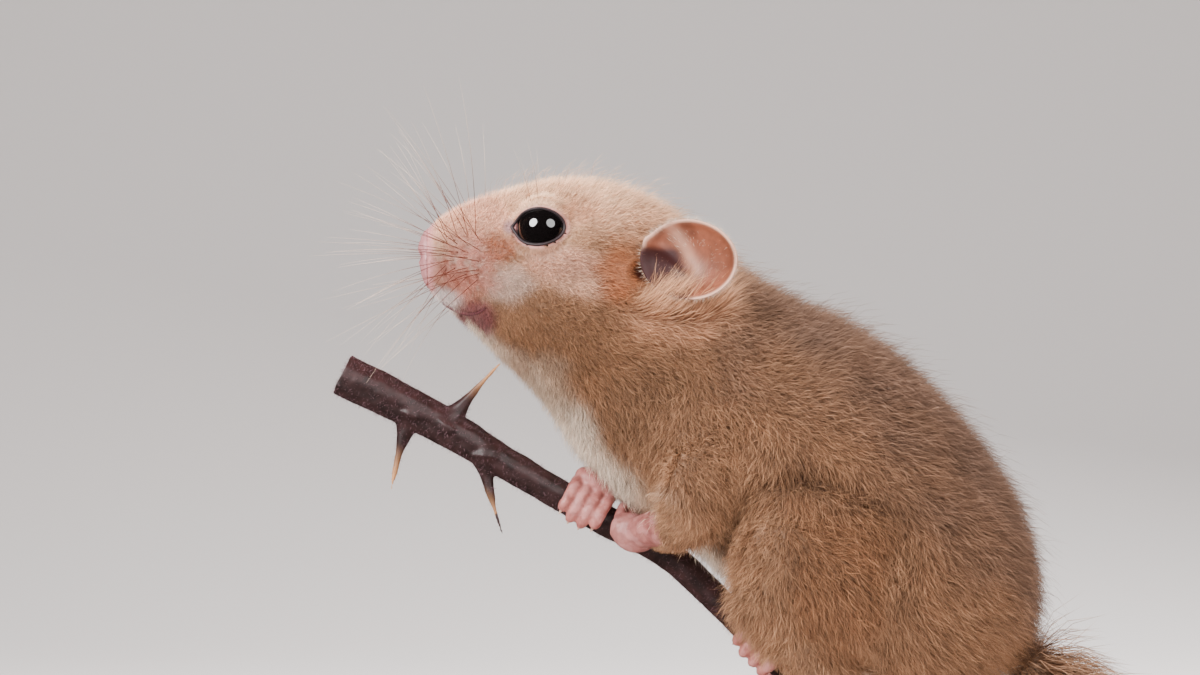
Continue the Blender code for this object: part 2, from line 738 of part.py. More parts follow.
def make_foot(name, share, side):
    """A hind foot laid along its own side of the stem, four toes bent under it and the first one over it."""
    _, _, run, _ = stem_frame(share)
    points = foot_path(share, side)
    radii = [FOOT_RADII[1] * HEEL_SIZES[0]] + [FOOT_RADII[1]] * FOOT_STEPS
    across = [FOOT_RADII[0] * HEEL_SIZES[1]] + [FOOT_RADII[0]] * FOOT_STEPS
    foot = tube(name, points, radii, SOLE_SIDES, across)
    knuckles = points[-1]
    toes = []
    for i in range(TOES):
        ahead = TOE_AHEAD - TOE_STEP * i
        first, last = {0: FIRST_TOE_SWEEP, TOES - 1: LAST_TOE_SWEEP}.get(i, TOE_SWEEP)
        start = knuckles + run * ahead * TOE_ROOTS
        toes.append(digit(share, start, ahead, (-side * first, -side * last), TOE_RADIUS))
    combine(foot, toes, "UNION")
    return keep_largest(combine(foot, [stem_cutter()], "DIFFERENCE"))


# The tail

def tail_points(count):
    """Points along the tail's middle, from its root to its tip."""
    points = [Vector(TAIL_ROOT)]
    rows = [(degrees,) for degrees in TAIL_DROOP]
    for i in range(count):
        share = (i + 0.5) / count
        droop = math.radians(smooth_read(rows, share * (len(rows) - 1))[0])
        sway = math.radians(TAIL_SWAY) * math.sin(math.pi * share)
        run = Vector((math.cos(droop) * math.cos(sway), -math.sin(sway), -math.sin(droop)))
        points.append(points[-1] + run * TAIL_LENGTH / count)
    return points


TAIL_STEPS = 96
TAIL_LINE = tail_points(TAIL_STEPS)


def tail_frame(share):
    """The tail's middle, its run towards the tip, and two directions across it, at a share of its length."""
    t = min(max(share, 0.0), 1.0) * TAIL_STEPS
    i = min(int(t), TAIL_STEPS - 1)
    middle = TAIL_LINE[i].lerp(TAIL_LINE[i + 1], t - i)
    run = (TAIL_LINE[min(i + 2, TAIL_STEPS)] - TAIL_LINE[max(i - 1, 0)]).normalized()
    side = (Vector((0, 1, 0)) - run * run.y).normalized()
    return middle, run, side, run.cross(side)


def core_radius(share):
    for (s0, r0), (s1, r1) in zip(TAIL_CORE, TAIL_CORE[1:]):
        if share <= s1:
            return r0 + (r1 - r0) * (share - s0) / (s1 - s0)
    return TAIL_CORE[-1][1]


def tail_ring(share, radius):
    """A ring across the tail."""
    middle, _, side, up = tail_frame(share)
    ring = []
    for k in range(TAIL_SIDES):
        angle = 2 * math.pi * k / TAIL_SIDES
        ring.append(middle + side * radius * math.cos(angle) + up * radius * math.sin(angle))
    return ring


def tail_core():
    shares = [i / TAIL_RINGS for i in range(TAIL_RINGS + 1)]
    return loft("tail", [tail_ring(share, core_radius(share)) for share in shares])


def lock(share, angle, length, rise):
    """A flat tapered lock that leaves the core low and bends back along the tail."""
    rings = []
    _, run, side, up = tail_frame(share)
    out = side * math.cos(angle) + up * math.sin(angle)
    across = run.cross(out)
    for along, width, thick in LOCK_SHAPE:
        ahead = min(share + along * length / TAIL_LENGTH, 1.0)
        past = share + along * length / TAIL_LENGTH - ahead
        line, line_run, line_side, line_up = tail_frame(ahead)
        away = line_side * math.cos(angle) + line_up * math.sin(angle)
        lift = core_radius(share) - LOCK_SINK + (LOCK_SINK + rise) * along ** LOCK_LIFT
        point = line + line_run * past * TAIL_LENGTH + away * lift
        half_width = LOCK_WIDTH * width / 2
        half_thick = LOCK_THICKNESS * thick / 2
        ring = [point + across * half_width, point + away * half_thick]
        ring += [point - across * half_width, point - away * half_thick]
        rings.append(ring)
    return loft("lock", rings)


def make_tail():
    """The core of the tail with its locks, row by row from the root, each row set between the last one's."""
    tail = tail_core()
    locks = []
    for row in range(LOCK_ROWS):
        share = (row + LOCK_START) / LOCK_ROWS
        for k in range(LOCKS_IN_ROW):
            vary = math.sin(VARY_STEPS[0] * row + VARY_STEPS[1] * k)
            angle = 2 * math.pi * (k + 0.5 * (row % 2)) / LOCKS_IN_ROW + LOCK_TURN * vary
            rise = LOCK_RISE * (1 - TIP_FALL * share ** 3) + RISE_VARY * vary
            locks.append(lock(share, angle, LOCK_LENGTH * (1 + LOCK_VARY * vary), rise))
    combine(tail, locks, "UNION", "MANIFOLD")
    return cut_away(tail, [trunk_cutter("tail_cutter")])


# The stand

def make_base():
    bm = bmesh.new()
    bmesh.ops.create_cone(bm, cap_ends=True, segments=BASE_SIDES, radius1=1.0, radius2=1.0, depth=BASE_HEIGHT)
    size = Matrix.Diagonal((BASE_LENGTH / 2, BASE_WIDTH / 2, 1.0, 1.0))
    bmesh.ops.transform(bm, matrix=Matrix.Translation((0, 0, BASE_HEIGHT / 2)) @ size, verts=bm.verts)
    rim = [e for e in bm.edges if all(v.co.z > BASE_HEIGHT * 0.9 for v in e.verts)]
    bmesh.ops.bevel(bm, geom=rim, offset=BASE_EDGE, segments=2, profile=0.5, affect="EDGES")
    return new_object("stand_base", bm)


def make_rod():
    """The rod runs from the base up to the stem, and its top is shaped to the stem's underside."""
    shares = [k / STEM_SEARCH for k in range(STEM_SEARCH + 1)]
    share = min(shares, key=lambda share: abs(stem_frame(share)[0].x - ROD_X))
    top = stem_frame(share)[0].z
    bottom = BASE_HEIGHT + GAP
    bm = bmesh.new()
    bmesh.ops.create_cone(
        bm, cap_ends=True, segments=ROD_SIDES, radius1=ROD_RADIUS, radius2=ROD_RADIUS, depth=top - bottom
    )
    bmesh.ops.translate(bm, vec=(ROD_X, 0, (top + bottom) / 2), verts=bm.verts)
    rod = new_object("stand_rod", bm)
    return keep_largest(combine(rod, [stem_cutter()], "DIFFERENCE"))


def make_room(obj):
    """Cuts a length of the trunk clear of the stem and of the feet that press into its fur."""
    rooms = hand_rooms(HAND_LEFT_AT, HAND_LEFT_TURN) + hand_rooms(HAND_RIGHT_AT, HAND_RIGHT_TURN)
    rooms += [foot_room(FOOT_LEFT_AT, -1), foot_room(FOOT_RIGHT_AT, 1)]
    return cut_away(obj, [stem_cutter(), *rooms])


def finish(obj, finish_name, parent):
    """Scales the mesh to metres, puts its origin at its own middle, and gives it its material."""
    mesh = obj.data
    low = Vector(map(min, zip(*(v.co for v in mesh.vertices))))
    high = Vector(map(max, zip(*(v.co for v in mesh.vertices))))
    middle = (low + high) / 2
    mesh.transform(Matrix.Scale(MM, 4) @ Matrix.Translation(-middle))
    obj.location = middle * MM
    obj.parent = parent
    mesh.materials.clear()
    mesh.materials.append(material(finish_name))
    mesh.shade_smooth()
    mesh.set_sharp_from_angle(angle=math.radians(SHARP_ANGLE))
    for group in list(obj.users_collection):
        group.objects.unlink(obj)
    bpy.data.collections["hazel_dormouse"].objects.link(obj)


def main():
    clear_scene()
    group = bpy.data.collections.new("hazel_dormouse")
    bpy.context.scene.collection.children.link(group)
    root = bpy.data.objects.new("display", None)
    group.objects.link(root)

    forefoot_left = make_hand("forefoot_left", HAND_LEFT_AT, HAND_LEFT_TURN, -1)
    forefoot_right = make_hand("forefoot_right", HAND_RIGHT_AT, HAND_RIGHT_TURN, 1)
    hindfoot_left = make_foot("hindfoot_left", FOOT_LEFT_AT, -1)
    hindfoot_right = make_foot("hindfoot_right", FOOT_RIGHT_AT, 1)
    coat = [
        make_room(make_head()),
        make_room(trunk_piece("neck", HEAD_ENDS, NECK_ENDS - CUT)),
        make_room(trunk_piece("torso", NECK_ENDS, LAST_STATION)),
        make_leg("foreleg_left", FORELEG_LEFT, -1, forefoot_left),
        make_leg("foreleg_right", FORELEG_RIGHT, 1, forefoot_right),
        make_leg("hindleg_left", HINDLEG_LEFT, -1, hindfoot_left, THIGH_LEFT),
        make_leg("hindleg_right", HINDLEG_RIGHT, 1, hindfoot_right, THIGH_RIGHT),
        make_tail(),
    ]
    bare = [
        make_nose(),
        make_ear(-1),
        make_ear(1),
        forefoot_left,
        forefoot_right,
        hindfoot_left,
        hindfoot_right,
    ]
    eyes = [make_eye(-1), make_eye(1)]
    for obj in coat:
        finish(obj, "coat", root)
    for obj in bare:
        finish(obj, "bare_skin", root)
    for obj in eyes:
        finish(obj, "eye", root)
    finish(make_stem(), "bramble", root)
    finish(make_base(), "base_wood", root)
    finish(make_rod(), "rod_metal", root)


main()
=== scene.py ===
"""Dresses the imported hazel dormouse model: skin, coat, face, feet, bramble stem, stand and stage.

The file is laid out as an add-on and is run as a script. Sizes are in millimetres in the model's own
frame: the animal faces -X, its left side is at -Y, and z = 0 is the floor. Finished meshes are in metres.
"""

import math

import bpy
import bmesh
import numpy as np
from mathutils import Matrix, Vector
from mathutils.kdtree import KDTree


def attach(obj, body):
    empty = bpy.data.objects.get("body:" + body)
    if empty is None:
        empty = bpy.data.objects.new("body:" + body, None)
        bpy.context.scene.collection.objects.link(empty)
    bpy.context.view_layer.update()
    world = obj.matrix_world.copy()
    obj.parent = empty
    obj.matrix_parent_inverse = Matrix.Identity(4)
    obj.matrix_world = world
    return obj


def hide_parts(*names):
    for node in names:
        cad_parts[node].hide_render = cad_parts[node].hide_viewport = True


bl_info = {
    "name": "Hazel Dormouse Display Model",
    "version": (1, 0, 0),
    "blender": (4, 5, 0),
    "location": "View3D > Sidebar > Dormouse",
    "description": "Builds the skin, coat, face, feet, perch and stand of a life-size dormouse model",
    "category": "Object",
}

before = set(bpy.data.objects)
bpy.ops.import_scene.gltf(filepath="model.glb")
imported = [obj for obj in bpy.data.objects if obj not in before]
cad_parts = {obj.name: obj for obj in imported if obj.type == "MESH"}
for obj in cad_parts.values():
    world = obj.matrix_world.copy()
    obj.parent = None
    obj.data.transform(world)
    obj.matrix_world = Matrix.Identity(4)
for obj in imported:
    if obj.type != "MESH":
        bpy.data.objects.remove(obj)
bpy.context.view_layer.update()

MM = 0.001
MM_PER_PIXEL = 0.1
PHOTO_SIZE = (1200, 675)
PHOTO_CENTRE = (-23.2, 79.75)  # x and z of the photo's middle in the plane of the animal

# The trunk: upper point (x, z), lower point (x, z), half the width, height of the widest line.
TRUNK = np.array([
    (-41.4, 88.7, -41.2, 86.9, 1.1, 0.50),
    (-40.9, 90.1, -40.8, 85.3, 2.2, 0.50),
    (-39.7, 91.4, -39.8, 83.8, 3.1, 0.45),
    (-37.5, 92.8, -38.0, 82.2, 4.2, 0.42),
    (-34.6, 94.0, -35.6, 80.0, 5.5, 0.42),
    (-31.6, 94.9, -33.4, 77.8, 6.8, 0.45),
    (-28.4, 95.6, -31.0, 75.5, 8.0, 0.45),
    (-24.9, 95.8, -28.9, 73.1, 9.0, 0.45),
    (-20.8, 95.0, -27.3, 70.7, 9.7, 0.45),
    (-16.6, 93.2, -25.9, 68.4, 9.9, 0.47),
    (-12.4, 89.9, -24.0, 66.0, 9.8, 0.48),
    (-8.2, 86.6, -21.7, 63.4, 10.6, 0.48),
    (-3.2, 83.8, -18.4, 61.0, 11.8, 0.47),
    (2.2, 81.4, -14.2, 58.2, 12.8, 0.45),
    (7.8, 77.3, -9.8, 54.4, 13.5, 0.43),
    (12.9, 72.1, -5.2, 49.6, 13.7, 0.42),
    (17.5, 66.0, -0.4, 44.8, 12.7, 0.42),
    (20.2, 59.8, 5.6, 42.2, 10.4, 0.45),
    (20.9, 54.2, 11.8, 42.6, 6.9, 0.50),
    (19.8, 50.6, 16.2, 46.2, 3.0, 0.50),
])
TRUNK_POWER = 2 / 2.15
TRUNK_SIDES = 96
LAST_STATION = len(TRUNK) - 1
# How deep the coat is at each station.
COAT_DEPTH = np.array([
    0.05, 0.1, 0.22, 0.35, 0.45, 0.55, 0.65, 0.8, 0.95, 1.1,
    1.25, 1.4, 1.5, 1.55, 1.6, 1.6, 1.6, 1.5, 1.4, 1.2,
])[:, None]

# The stem's centre line (x, z) and radius.
STEM = np.array([
    (-49.0, 76.0, 2.1), (-43.0, 73.1, 2.0), (-37.0, 69.8, 1.8), (-31.0, 66.2, 1.55), (-23.0, 61.6, 1.5),
    (-16.2, 57.9, 1.5), (-9.0, 51.0, 1.35), (-1.0, 42.6, 1.3), (7.2, 34.2, 1.3), (15.6, 25.8, 1.25),
])
STEM_LENGTH = 82.7
GAP = 0.3
# Prickles: share of the stem's length, degrees from its upper side, lean, length, radius of the foot.
PRICKLES = [
    (0.193, 8.0, -0.20, 7.8, 1.35),
    (0.276, 172.0, -0.95, 5.8, 1.30),
    (0.133, 176.0, -0.24, 7.6, 1.35),
    (0.93, 170.0, -0.30, 5.0, 0.95),
]

# Eyes and ears, as on the right side. The left side is its mirror image. Openings and ears are half widths.
EYE_PLACE = np.array([-28.75, 5.35, 90.4])
EYE_AIM = np.array([-0.26, 1.0, 0.10])
EYE_RADIUS = 2.75
EYE_OPENING = (2.5, 1.8)
EAR_MIDDLE = np.array([-14.5, 10.3, 87.3])
EAR_BACK = np.array([0.90, 0.42, -0.08])
EAR_HALF = (4.9, 3.75)
EAR_DEPTH = 1.7
# Zones at each ear: middle and half widths in x, y and z.
EAR_ZONES = {
    "sunk": ((-18.4, 9.0, 86.3), (1.9, 1.7, 1.35)),
    # The skin in the dark zone is painted near black, as painted shade in the ear's hollow.
    "dark": ((-18.4, 8.4, 86.3), (1.9, 2.2, 1.4)),
    "bare": ((-18.4, 8.4, 86.3), (1.8, 2.6, 1.3)),
    "near": ((-19.2, 8.4, 86.4), (2.9, 3.0, 2.2)),
    "front": ((-20.4, 8.6, 86.6), (1.9, 3.0, 2.0)),
    "tufts": ((-15.2, 8.6, 82.8), (5.6, 3.0, 1.7)),
}
# The mouth, at its front and at its corners: trunk station, and degrees up from the underside.
MOUTH_STATIONS = (2.35, 4.3)
MOUTH_ANGLES = (8.0, 62.0)
HEAD_END = -28  # the mouth is looked for only in front of this x
FAR = 9.0  # stands for any distance that is too great to matter

# Tail. It droops by so many degrees at its root, middle and tip, and sways to the left between its ends.
TAIL_ROOT = (17.9, 0.0, 48.5)
TAIL_LENGTH = 62.0
TAIL_DROOP = np.array([44.0, 50.0, 16.0])[:, None]
TAIL_SWAY = 9.0
TAIL_STEPS = 96

# Feet, by side. A hand's place is a share of the stem's length, and degrees from its upper side to the left.
SIDES = (("left", -1), ("right", 1))
HAND_PLACES = {-1: (0.492, 84), 1: (0.417, -4)}
FOOT_PLACES = {-1: 0.716, 1: 0.763}
FINGERS = 4
FINGER_RADIUS = 0.64
FINGER_STEP = 1.2
TOES = 5
TOE_RADIUS = 0.68
TOE_STEP = 1.32


# Curves and surfaces of the model

def read_rows(rows, t):
    """A Catmull-Rom curve through equally spaced rows, read at t rows from the first."""
    last = len(rows) - 1
    t = np.clip(np.atleast_1d(np.asarray(t, float)), 0, last)
    i = np.minimum(t.astype(int), last - 1)
    f = (t - i)[:, None]
    a, b, c, d = (rows[np.clip(i + k, 0, last)] for k in (-1, 0, 1, 2))
    return b + 0.5 * ((c - a) * f + (2 * a - 5 * b + 4 * c - d) * f ** 2 + (3 * b - a - 3 * c + d) * f ** 3)


def unit(vectors):
    return vectors / np.maximum(np.linalg.norm(vectors, axis=-1, keepdims=True), 1e-9)


def smooth_step(x, low, high):
    """Rises smoothly from 0 at the low value to 1 at the high one."""
    x = np.clip((x - low) / (high - low), 0, 1)
    return x * x * (3 - 2 * x)


def turns(count):
    """This many angles, evenly round a circle."""
    return np.arange(count) / count * 2 * math.pi


def search_tree(points):
    tree = KDTree(len(points))
    for i, point in enumerate(points):
        tree.insert(point, i)
    tree.balance()
    return tree


def nearest(tree, points):
    """For each point, the number of the nearest point in a search tree, and its distance."""
    found = [tree.find(p) for p in points]
    return np.array([f[1] for f in found]), np.array([f[2] for f in found])


def trunk_frames(t):
    """The trunk's middle, its upward direction, and its upper, lower and side radii at stations t."""
    row = read_rows(TRUNK, t)
    zero = np.zeros(len(row))
    top = np.stack([row[:, 0], zero, row[:, 1]], 1)
    low = np.stack([row[:, 2], zero, row[:, 3]], 1)
    middle = low + (top - low) * row[:, 5:6]
    up = unit(top - low)
    return middle, up, np.linalg.norm(top - middle, axis=1), np.linalg.norm(middle - low, axis=1), row[:, 4]


def trunk_points(t, angle):
    """The trunk's surface. The angle is 0 at the left side, 90 degrees on the back and 180 at the right."""
    middle, up, upper, lower, half = trunk_frames(t)
    rise = np.sin(angle)
    reach = np.cos(angle)
    height = np.where(rise > 0, upper, lower)
    upward = np.sign(rise) * np.abs(rise) ** TRUNK_POWER * height
    outward = np.sign(reach) * np.abs(reach) ** TRUNK_POWER * half
    points = middle + up * upward[:, None]
    points[:, 1] -= outward
    return points


def trunk_rings(first, last, count):
    """Rings of points round the trunk, evenly spaced from one station to another."""
    angles = turns(TRUNK_SIDES)
    return [trunk_points(np.full(TRUNK_SIDES, t), angles) for t in np.linspace(first, last, count)]


def tail_line():
    """Points along the tail's middle, and its direction at each."""
    share = (np.arange(TAIL_STEPS) + 0.5) / TAIL_STEPS
    droop = np.radians(read_rows(TAIL_DROOP, share * 2)[:, 0])
    sway = math.radians(TAIL_SWAY) * np.sin(math.pi * share)
    runs = np.stack([np.cos(droop) * np.cos(sway), -np.sin(sway), -np.sin(droop)], 1)
    points = np.vstack([[TAIL_ROOT], TAIL_ROOT + np.cumsum(runs * TAIL_LENGTH / TAIL_STEPS, axis=0)])
    return points, np.vstack([runs[:1], runs])


def stem_frame(share):
    """The stem's middle, radius, run towards its lower end and upper side, at a share of its length."""
    t = share * (len(STEM) - 1)
    here = read_rows(STEM, t)[0]
    before, after = read_rows(STEM, [t - 0.02, t + 0.02])
    run = unit(np.array([after[0] - before[0], 0, after[1] - before[1]]))
    return np.array([here[0], 0, here[1]]), here[2], run, np.array([-run[2], 0, run[0]])


def round_stem(share, degrees, distance, ahead=0.0):
    """A point beside the stem, degrees round it from its upper side towards the left."""
    centre, _, run, upper = stem_frame(share)
    angle = math.radians(degrees)
    point = centre + run * ahead + upper * math.cos(angle) * distance
    point[1] -= math.sin(angle) * distance
    return point


# Meshes

def add_object(name, data):
    """A new object with this data, in the scene."""
    obj = bpy.data.objects.new(name, data)
    bpy.context.scene.collection.objects.link(obj)
    return obj


def from_bmesh(bm, name):
    """A new object whose mesh comes from a bmesh, which is freed."""
    mesh = bpy.data.meshes.new(name)
    bm.to_mesh(mesh)
    bm.free()
    return add_object(name, mesh)


def mesh_object(name, points, faces):
    """An object whose mesh has these points, in millimetres, and these faces, all with as many corners."""
    faces = np.asarray(faces, np.int32)
    mesh = bpy.data.meshes.new(name)
    mesh.vertices.add(len(points))
    mesh.vertices.foreach_set("co", (np.asarray(points) * MM).astype(np.float32).ravel())
    mesh.loops.add(faces.size)
    mesh.loops.foreach_set("vertex_index", faces.ravel())
    mesh.polygons.add(len(faces))
    mesh.polygons.foreach_set("loop_start", np.arange(len(faces), dtype=np.int32) * faces.shape[1])
    mesh.update(calc_edges=True)
    mesh.shade_smooth()
    return add_object(name, mesh)


def grid_faces(rows, sides):
    """Quads between rows of points that each close on themselves."""
    i = np.arange(rows - 1)[:, None] * sides
    k = np.arange(sides)[None, :]
    j = (k + 1) % sides
    return np.stack([i + k, i + j, i + j + sides, i + k + sides], -1).reshape(-1, 4)


def closed_loft(name, rings):
    """A closed skin over rings of points, with a fan of faces at each end."""
    rings = np.asarray(rings)
    rows, sides = rings.shape[:2]
    points = np.vstack([rings.reshape(-1, 3), rings[0].mean(0), rings[-1].mean(0)])
    k = np.arange(sides)
    j = (k + 1) % sides
    last = (rows - 1) * sides
    ends = [(points.shape[0] - 2, b, a) for a, b in zip(k, j)]
    ends += [(points.shape[0] - 1, last + a, last + b) for a, b in zip(k, j)]
    bm = bmesh.new()
    verts = [bm.verts.new(p * MM) for p in points]
    for face in [*grid_faces(rows, sides).tolist(), *ends]:
        bm.faces.new([verts[v] for v in face])
    bmesh.ops.recalc_face_normals(bm, faces=bm.faces)
    obj = from_bmesh(bm, name)
    obj.data.shade_smooth()
    return obj


# Rings of a tube's rounded end: how far past its last point, and how wide, as shares of its radius.
ROUND_END = ((0.0, 1.0), (0.35, 0.92), (0.7, 0.7), (0.92, 0.38))


def tube(name, points, radii, sides, flat=1.0):
    """A closed tube along points, with rounded ends."""
    points = np.asarray(points, float)
    radii = np.asarray(radii, float)
    last = len(points) - 1
    angles = turns(sides)
    side = np.array([0.0, 1.0, 0.0])
    rings = []
    for i, point in enumerate(points):
        along = unit(points[min(i + 1, last)] - points[max(i - 1, 0)])
        side = side - along * along.dot(side)
        if np.linalg.norm(side) < 0.3:
            side = np.array([1.0, 0.0, 0.0]) - along * along[0]
        side = unit(side)
        up = np.cross(along, side)
        steps = ROUND_END[:1]
        if i == 0:
            steps = [(-shift, size) for shift, size in reversed(ROUND_END)]
        if i == last:
            steps = ROUND_END
        for shift, size in steps:
            ring = point + along * radii[i] * shift
            ring = ring + np.outer(np.cos(angles), side) * radii[i] * size
            rings.append(ring + np.outer(np.sin(angles), up) * radii[i] * size * flat)
    return closed_loft(name, rings)


def ellipsoid(name, middle, radii, axes, rows=24, sides=32):
    """An ellipsoid with these radii along the rows of axes. Its poles lie on the first."""
    k = turns(sides)
    rings = []
    for row in range(1, rows):
        polar = math.pi * row / rows
        ring = [np.full(sides, math.cos(polar)), math.sin(polar) * np.cos(k), math.sin(polar) * np.sin(k)]
        rings.append((np.stack(ring, 1) * radii) @ axes + middle)
    return closed_loft(name, rings)


def node_copy(node):
    """A welded copy of a solid of the frame, so that its faces share their corners."""
    bm = bmesh.new()
    bm.from_mesh(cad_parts[node].data)
    bmesh.ops.remove_doubles(bm, verts=bm.verts, dist=1e-6)
    return from_bmesh(bm, node + "_copy")


def join(objects, name):
    """One object with the meshes of all, in place of them."""
    bm = bmesh.new()
    for obj in objects:
        bm.from_mesh(obj.data)
        bpy.data.objects.remove(obj)
    return from_bmesh(bm, name)


def evaluated_mesh(obj):
    """A new mesh of an object with its modifiers at work."""
    bpy.context.view_layer.update()
    graph = bpy.context.evaluated_depsgraph_get()
    return bpy.data.meshes.new_from_object(obj.evaluated_get(graph))


def fuse(obj, cell):
    """Fuses the closed shapes of an object into one even surface, with this size of cell in millimetres."""
    obj.data.transform(Matrix.Scale(1 / MM, 4))
    remesh = obj.modifiers.new("fuse", "REMESH")
    remesh.mode = "VOXEL"
    remesh.voxel_size = cell
    mesh = evaluated_mesh(obj)
    obj.modifiers.clear()
    obj.data = mesh
    obj.data.transform(Matrix.Scale(MM, 4))
    return obj


def read_points(obj):
    """The mesh's points as they are stored, in metres."""
    points = np.empty(len(obj.data.vertices) * 3, np.float32)
    obj.data.vertices.foreach_get("co", points)
    return points.reshape(-1, 3)


def read_mesh(obj):
    """The mesh's points in millimetres, and its quads."""
    mesh = obj.data
    corners = np.empty(len(mesh.loops), np.int32)
    mesh.loops.foreach_get("vertex_index", corners)
    return read_points(obj).astype(float) / MM, corners.reshape(len(mesh.polygons), -1)


def write_points(obj, points):
    obj.data.vertices.foreach_set("co", (points * MM).astype(np.float32).ravel())
    obj.data.update()


def quad_normals(points, quads):
    """The normal at each point of a mesh of quads."""
    across = np.cross(points[quads[:, 2]] - points[quads[:, 0]], points[quads[:, 3]] - points[quads[:, 1]])
    total = np.zeros_like(points)
    for k in range(4):
        for axis in range(3):
            total[:, axis] += np.bincount(quads[:, k], across[:, axis], len(points))
    return unit(total)


SMOOTHING = 0.5
UNSHRINKING = 0.95  # how much of each round of smoothing the next one gives back


def smoothed(points, quads, rounds):
    """Evens the points out among their neighbours, without shrinking much."""
    a = quads.ravel()
    b = np.roll(quads, -1, axis=1).ravel()
    count = np.bincount(a, minlength=len(points))[:, None]
    points = points.copy()
    for i in range(rounds * 2):
        mean = np.stack([np.bincount(a, points[b, axis], len(points)) for axis in range(3)], 1) / count
        points += (mean - points) * (SMOOTHING if i % 2 == 0 else -SMOOTHING * UNSHRINKING)
    return points


NOISE_WAVES = 9
NOISE_SIZES = (0.7, 1.5)  # the waves' lengths, as shares of the size asked for
NOISE_HEIGHT = 3.6  # what the sum of the waves is divided by


def solid_noise(points, size, seed):
    """A smooth random value, mostly from -1 to 1, at each point, with this size of wave in millimetres."""
    rng = np.random.default_rng(seed)
    value = np.zeros(len(points))
    for _ in range(NOISE_WAVES):
        wave = unit(rng.normal(size=3)) * 2 * math.pi / (size * rng.uniform(*NOISE_SIZES))
        value += np.sin(points @ wave + rng.uniform(0, 2 * math.pi))
    return value / NOISE_HEIGHT


def present(obj, material, slot, *nodes):
    """Gives a finished piece its material, its place on the model and the solids that it stands for."""
    obj.data.materials.clear()
    obj.data.materials.append(material)
    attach(obj, "root")
    if nodes:
        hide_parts(*nodes)


# Where a point lies on the body

# Lines down the legs, each from the trunk to the foot: x, y, z and radius.
GUIDES = {
    "foreleg_left": [
        (-9.5, -7.4, 74.0, 5.5), (-13.0, -9.2, 66.0, 4.6),
        (-15.0, -7.8, 61.6, 3.0), (-17.2, -3.7, 60.2, 1.7),
    ],
    "foreleg_right": [
        (-10.5, 7.4, 74.5, 5.5), (-15.0, 9.4, 67.2, 4.4),
        (-19.0, 7.4, 65.3, 2.8), (-21.9, 2.5, 65.1, 1.7),
    ],
    "hindleg_left": [
        (1.0, -8.6, 64.0, 7.0), (-1.5, -9.6, 55.0, 7.0),
        (-1.4, -9.6, 49.5, 4.4), (2.6, -5.4, 40.9, 1.9),
    ],
    "hindleg_right": [
        (4.4, 8.6, 62.0, 7.0), (1.9, 9.6, 53.0, 7.0),
        (2.2, 9.6, 47.4, 4.4), (5.6, 5.4, 37.8, 1.9),
    ],
}
# How deep the coat is at each row of a leg's line, and on the tail.
LEG_DEPTHS = (1.5, 1.3, 0.8, 0.35)
TAIL_DEPTH = 0.2
SHOULDER_STATION = 9  # no leg joins the trunk in front of this
# Steps between the points at which the trunk's surface is looked up, and the step that gives its fur's lay.
SURFACE_STEP = 0.125
SURFACE_DEGREES = 5.0
LAY_STEP = 0.2
FLANK_SWEEP = 0.35  # how much the fur of the flanks is swept down
BLEND_REACH = 0.5  # the trunk, legs and tail share a point by how near they are, and this evens it out
LEG_SHARE = 0.45  # a point counts as on a leg from this share on
TAIL_HALF = 2.4
TAIL_WEIGHT = 40


def trunk_lookup():
    """A search tree over the trunk's surface, with the station, angle and lay of each of its points."""
    stations, angles = np.meshgrid(
        np.arange(0, LAST_STATION + 0.01, SURFACE_STEP), np.arange(0, 360, SURFACE_DEGREES), indexing="ij",
    )
    stations = stations.ravel()
    angles = np.radians(angles.ravel())
    points = trunk_points(stations, angles)
    lays = unit(trunk_points(np.minimum(stations + LAY_STEP, LAST_STATION), angles)
                - trunk_points(np.maximum(stations - LAY_STEP, 0), angles))
    return search_tree(points), points, stations, angles, lays


def along_leg(points, rows):
    """For each point: its height over a leg's surface, how many rows down it is, and the leg's run there."""
    rows = np.array(rows)
    height = np.full(len(points), np.inf)
    down = np.zeros(len(points))
    runs = np.zeros_like(points)
    for i in range(len(rows) - 1):
        run = rows[i + 1, :3] - rows[i, :3]
        share = np.clip((points - rows[i, :3]) @ run / run.dot(run), 0, 1)
        radius = rows[i, 3] + (rows[i + 1, 3] - rows[i, 3]) * share
        away = np.linalg.norm(points - rows[i, :3] - share[:, None] * run, axis=1) - radius
        closer = away < height
        height = np.where(closer, away, height)
        down = np.where(closer, i + share, down)
        runs[closer] = unit(run)
    return height, down, runs


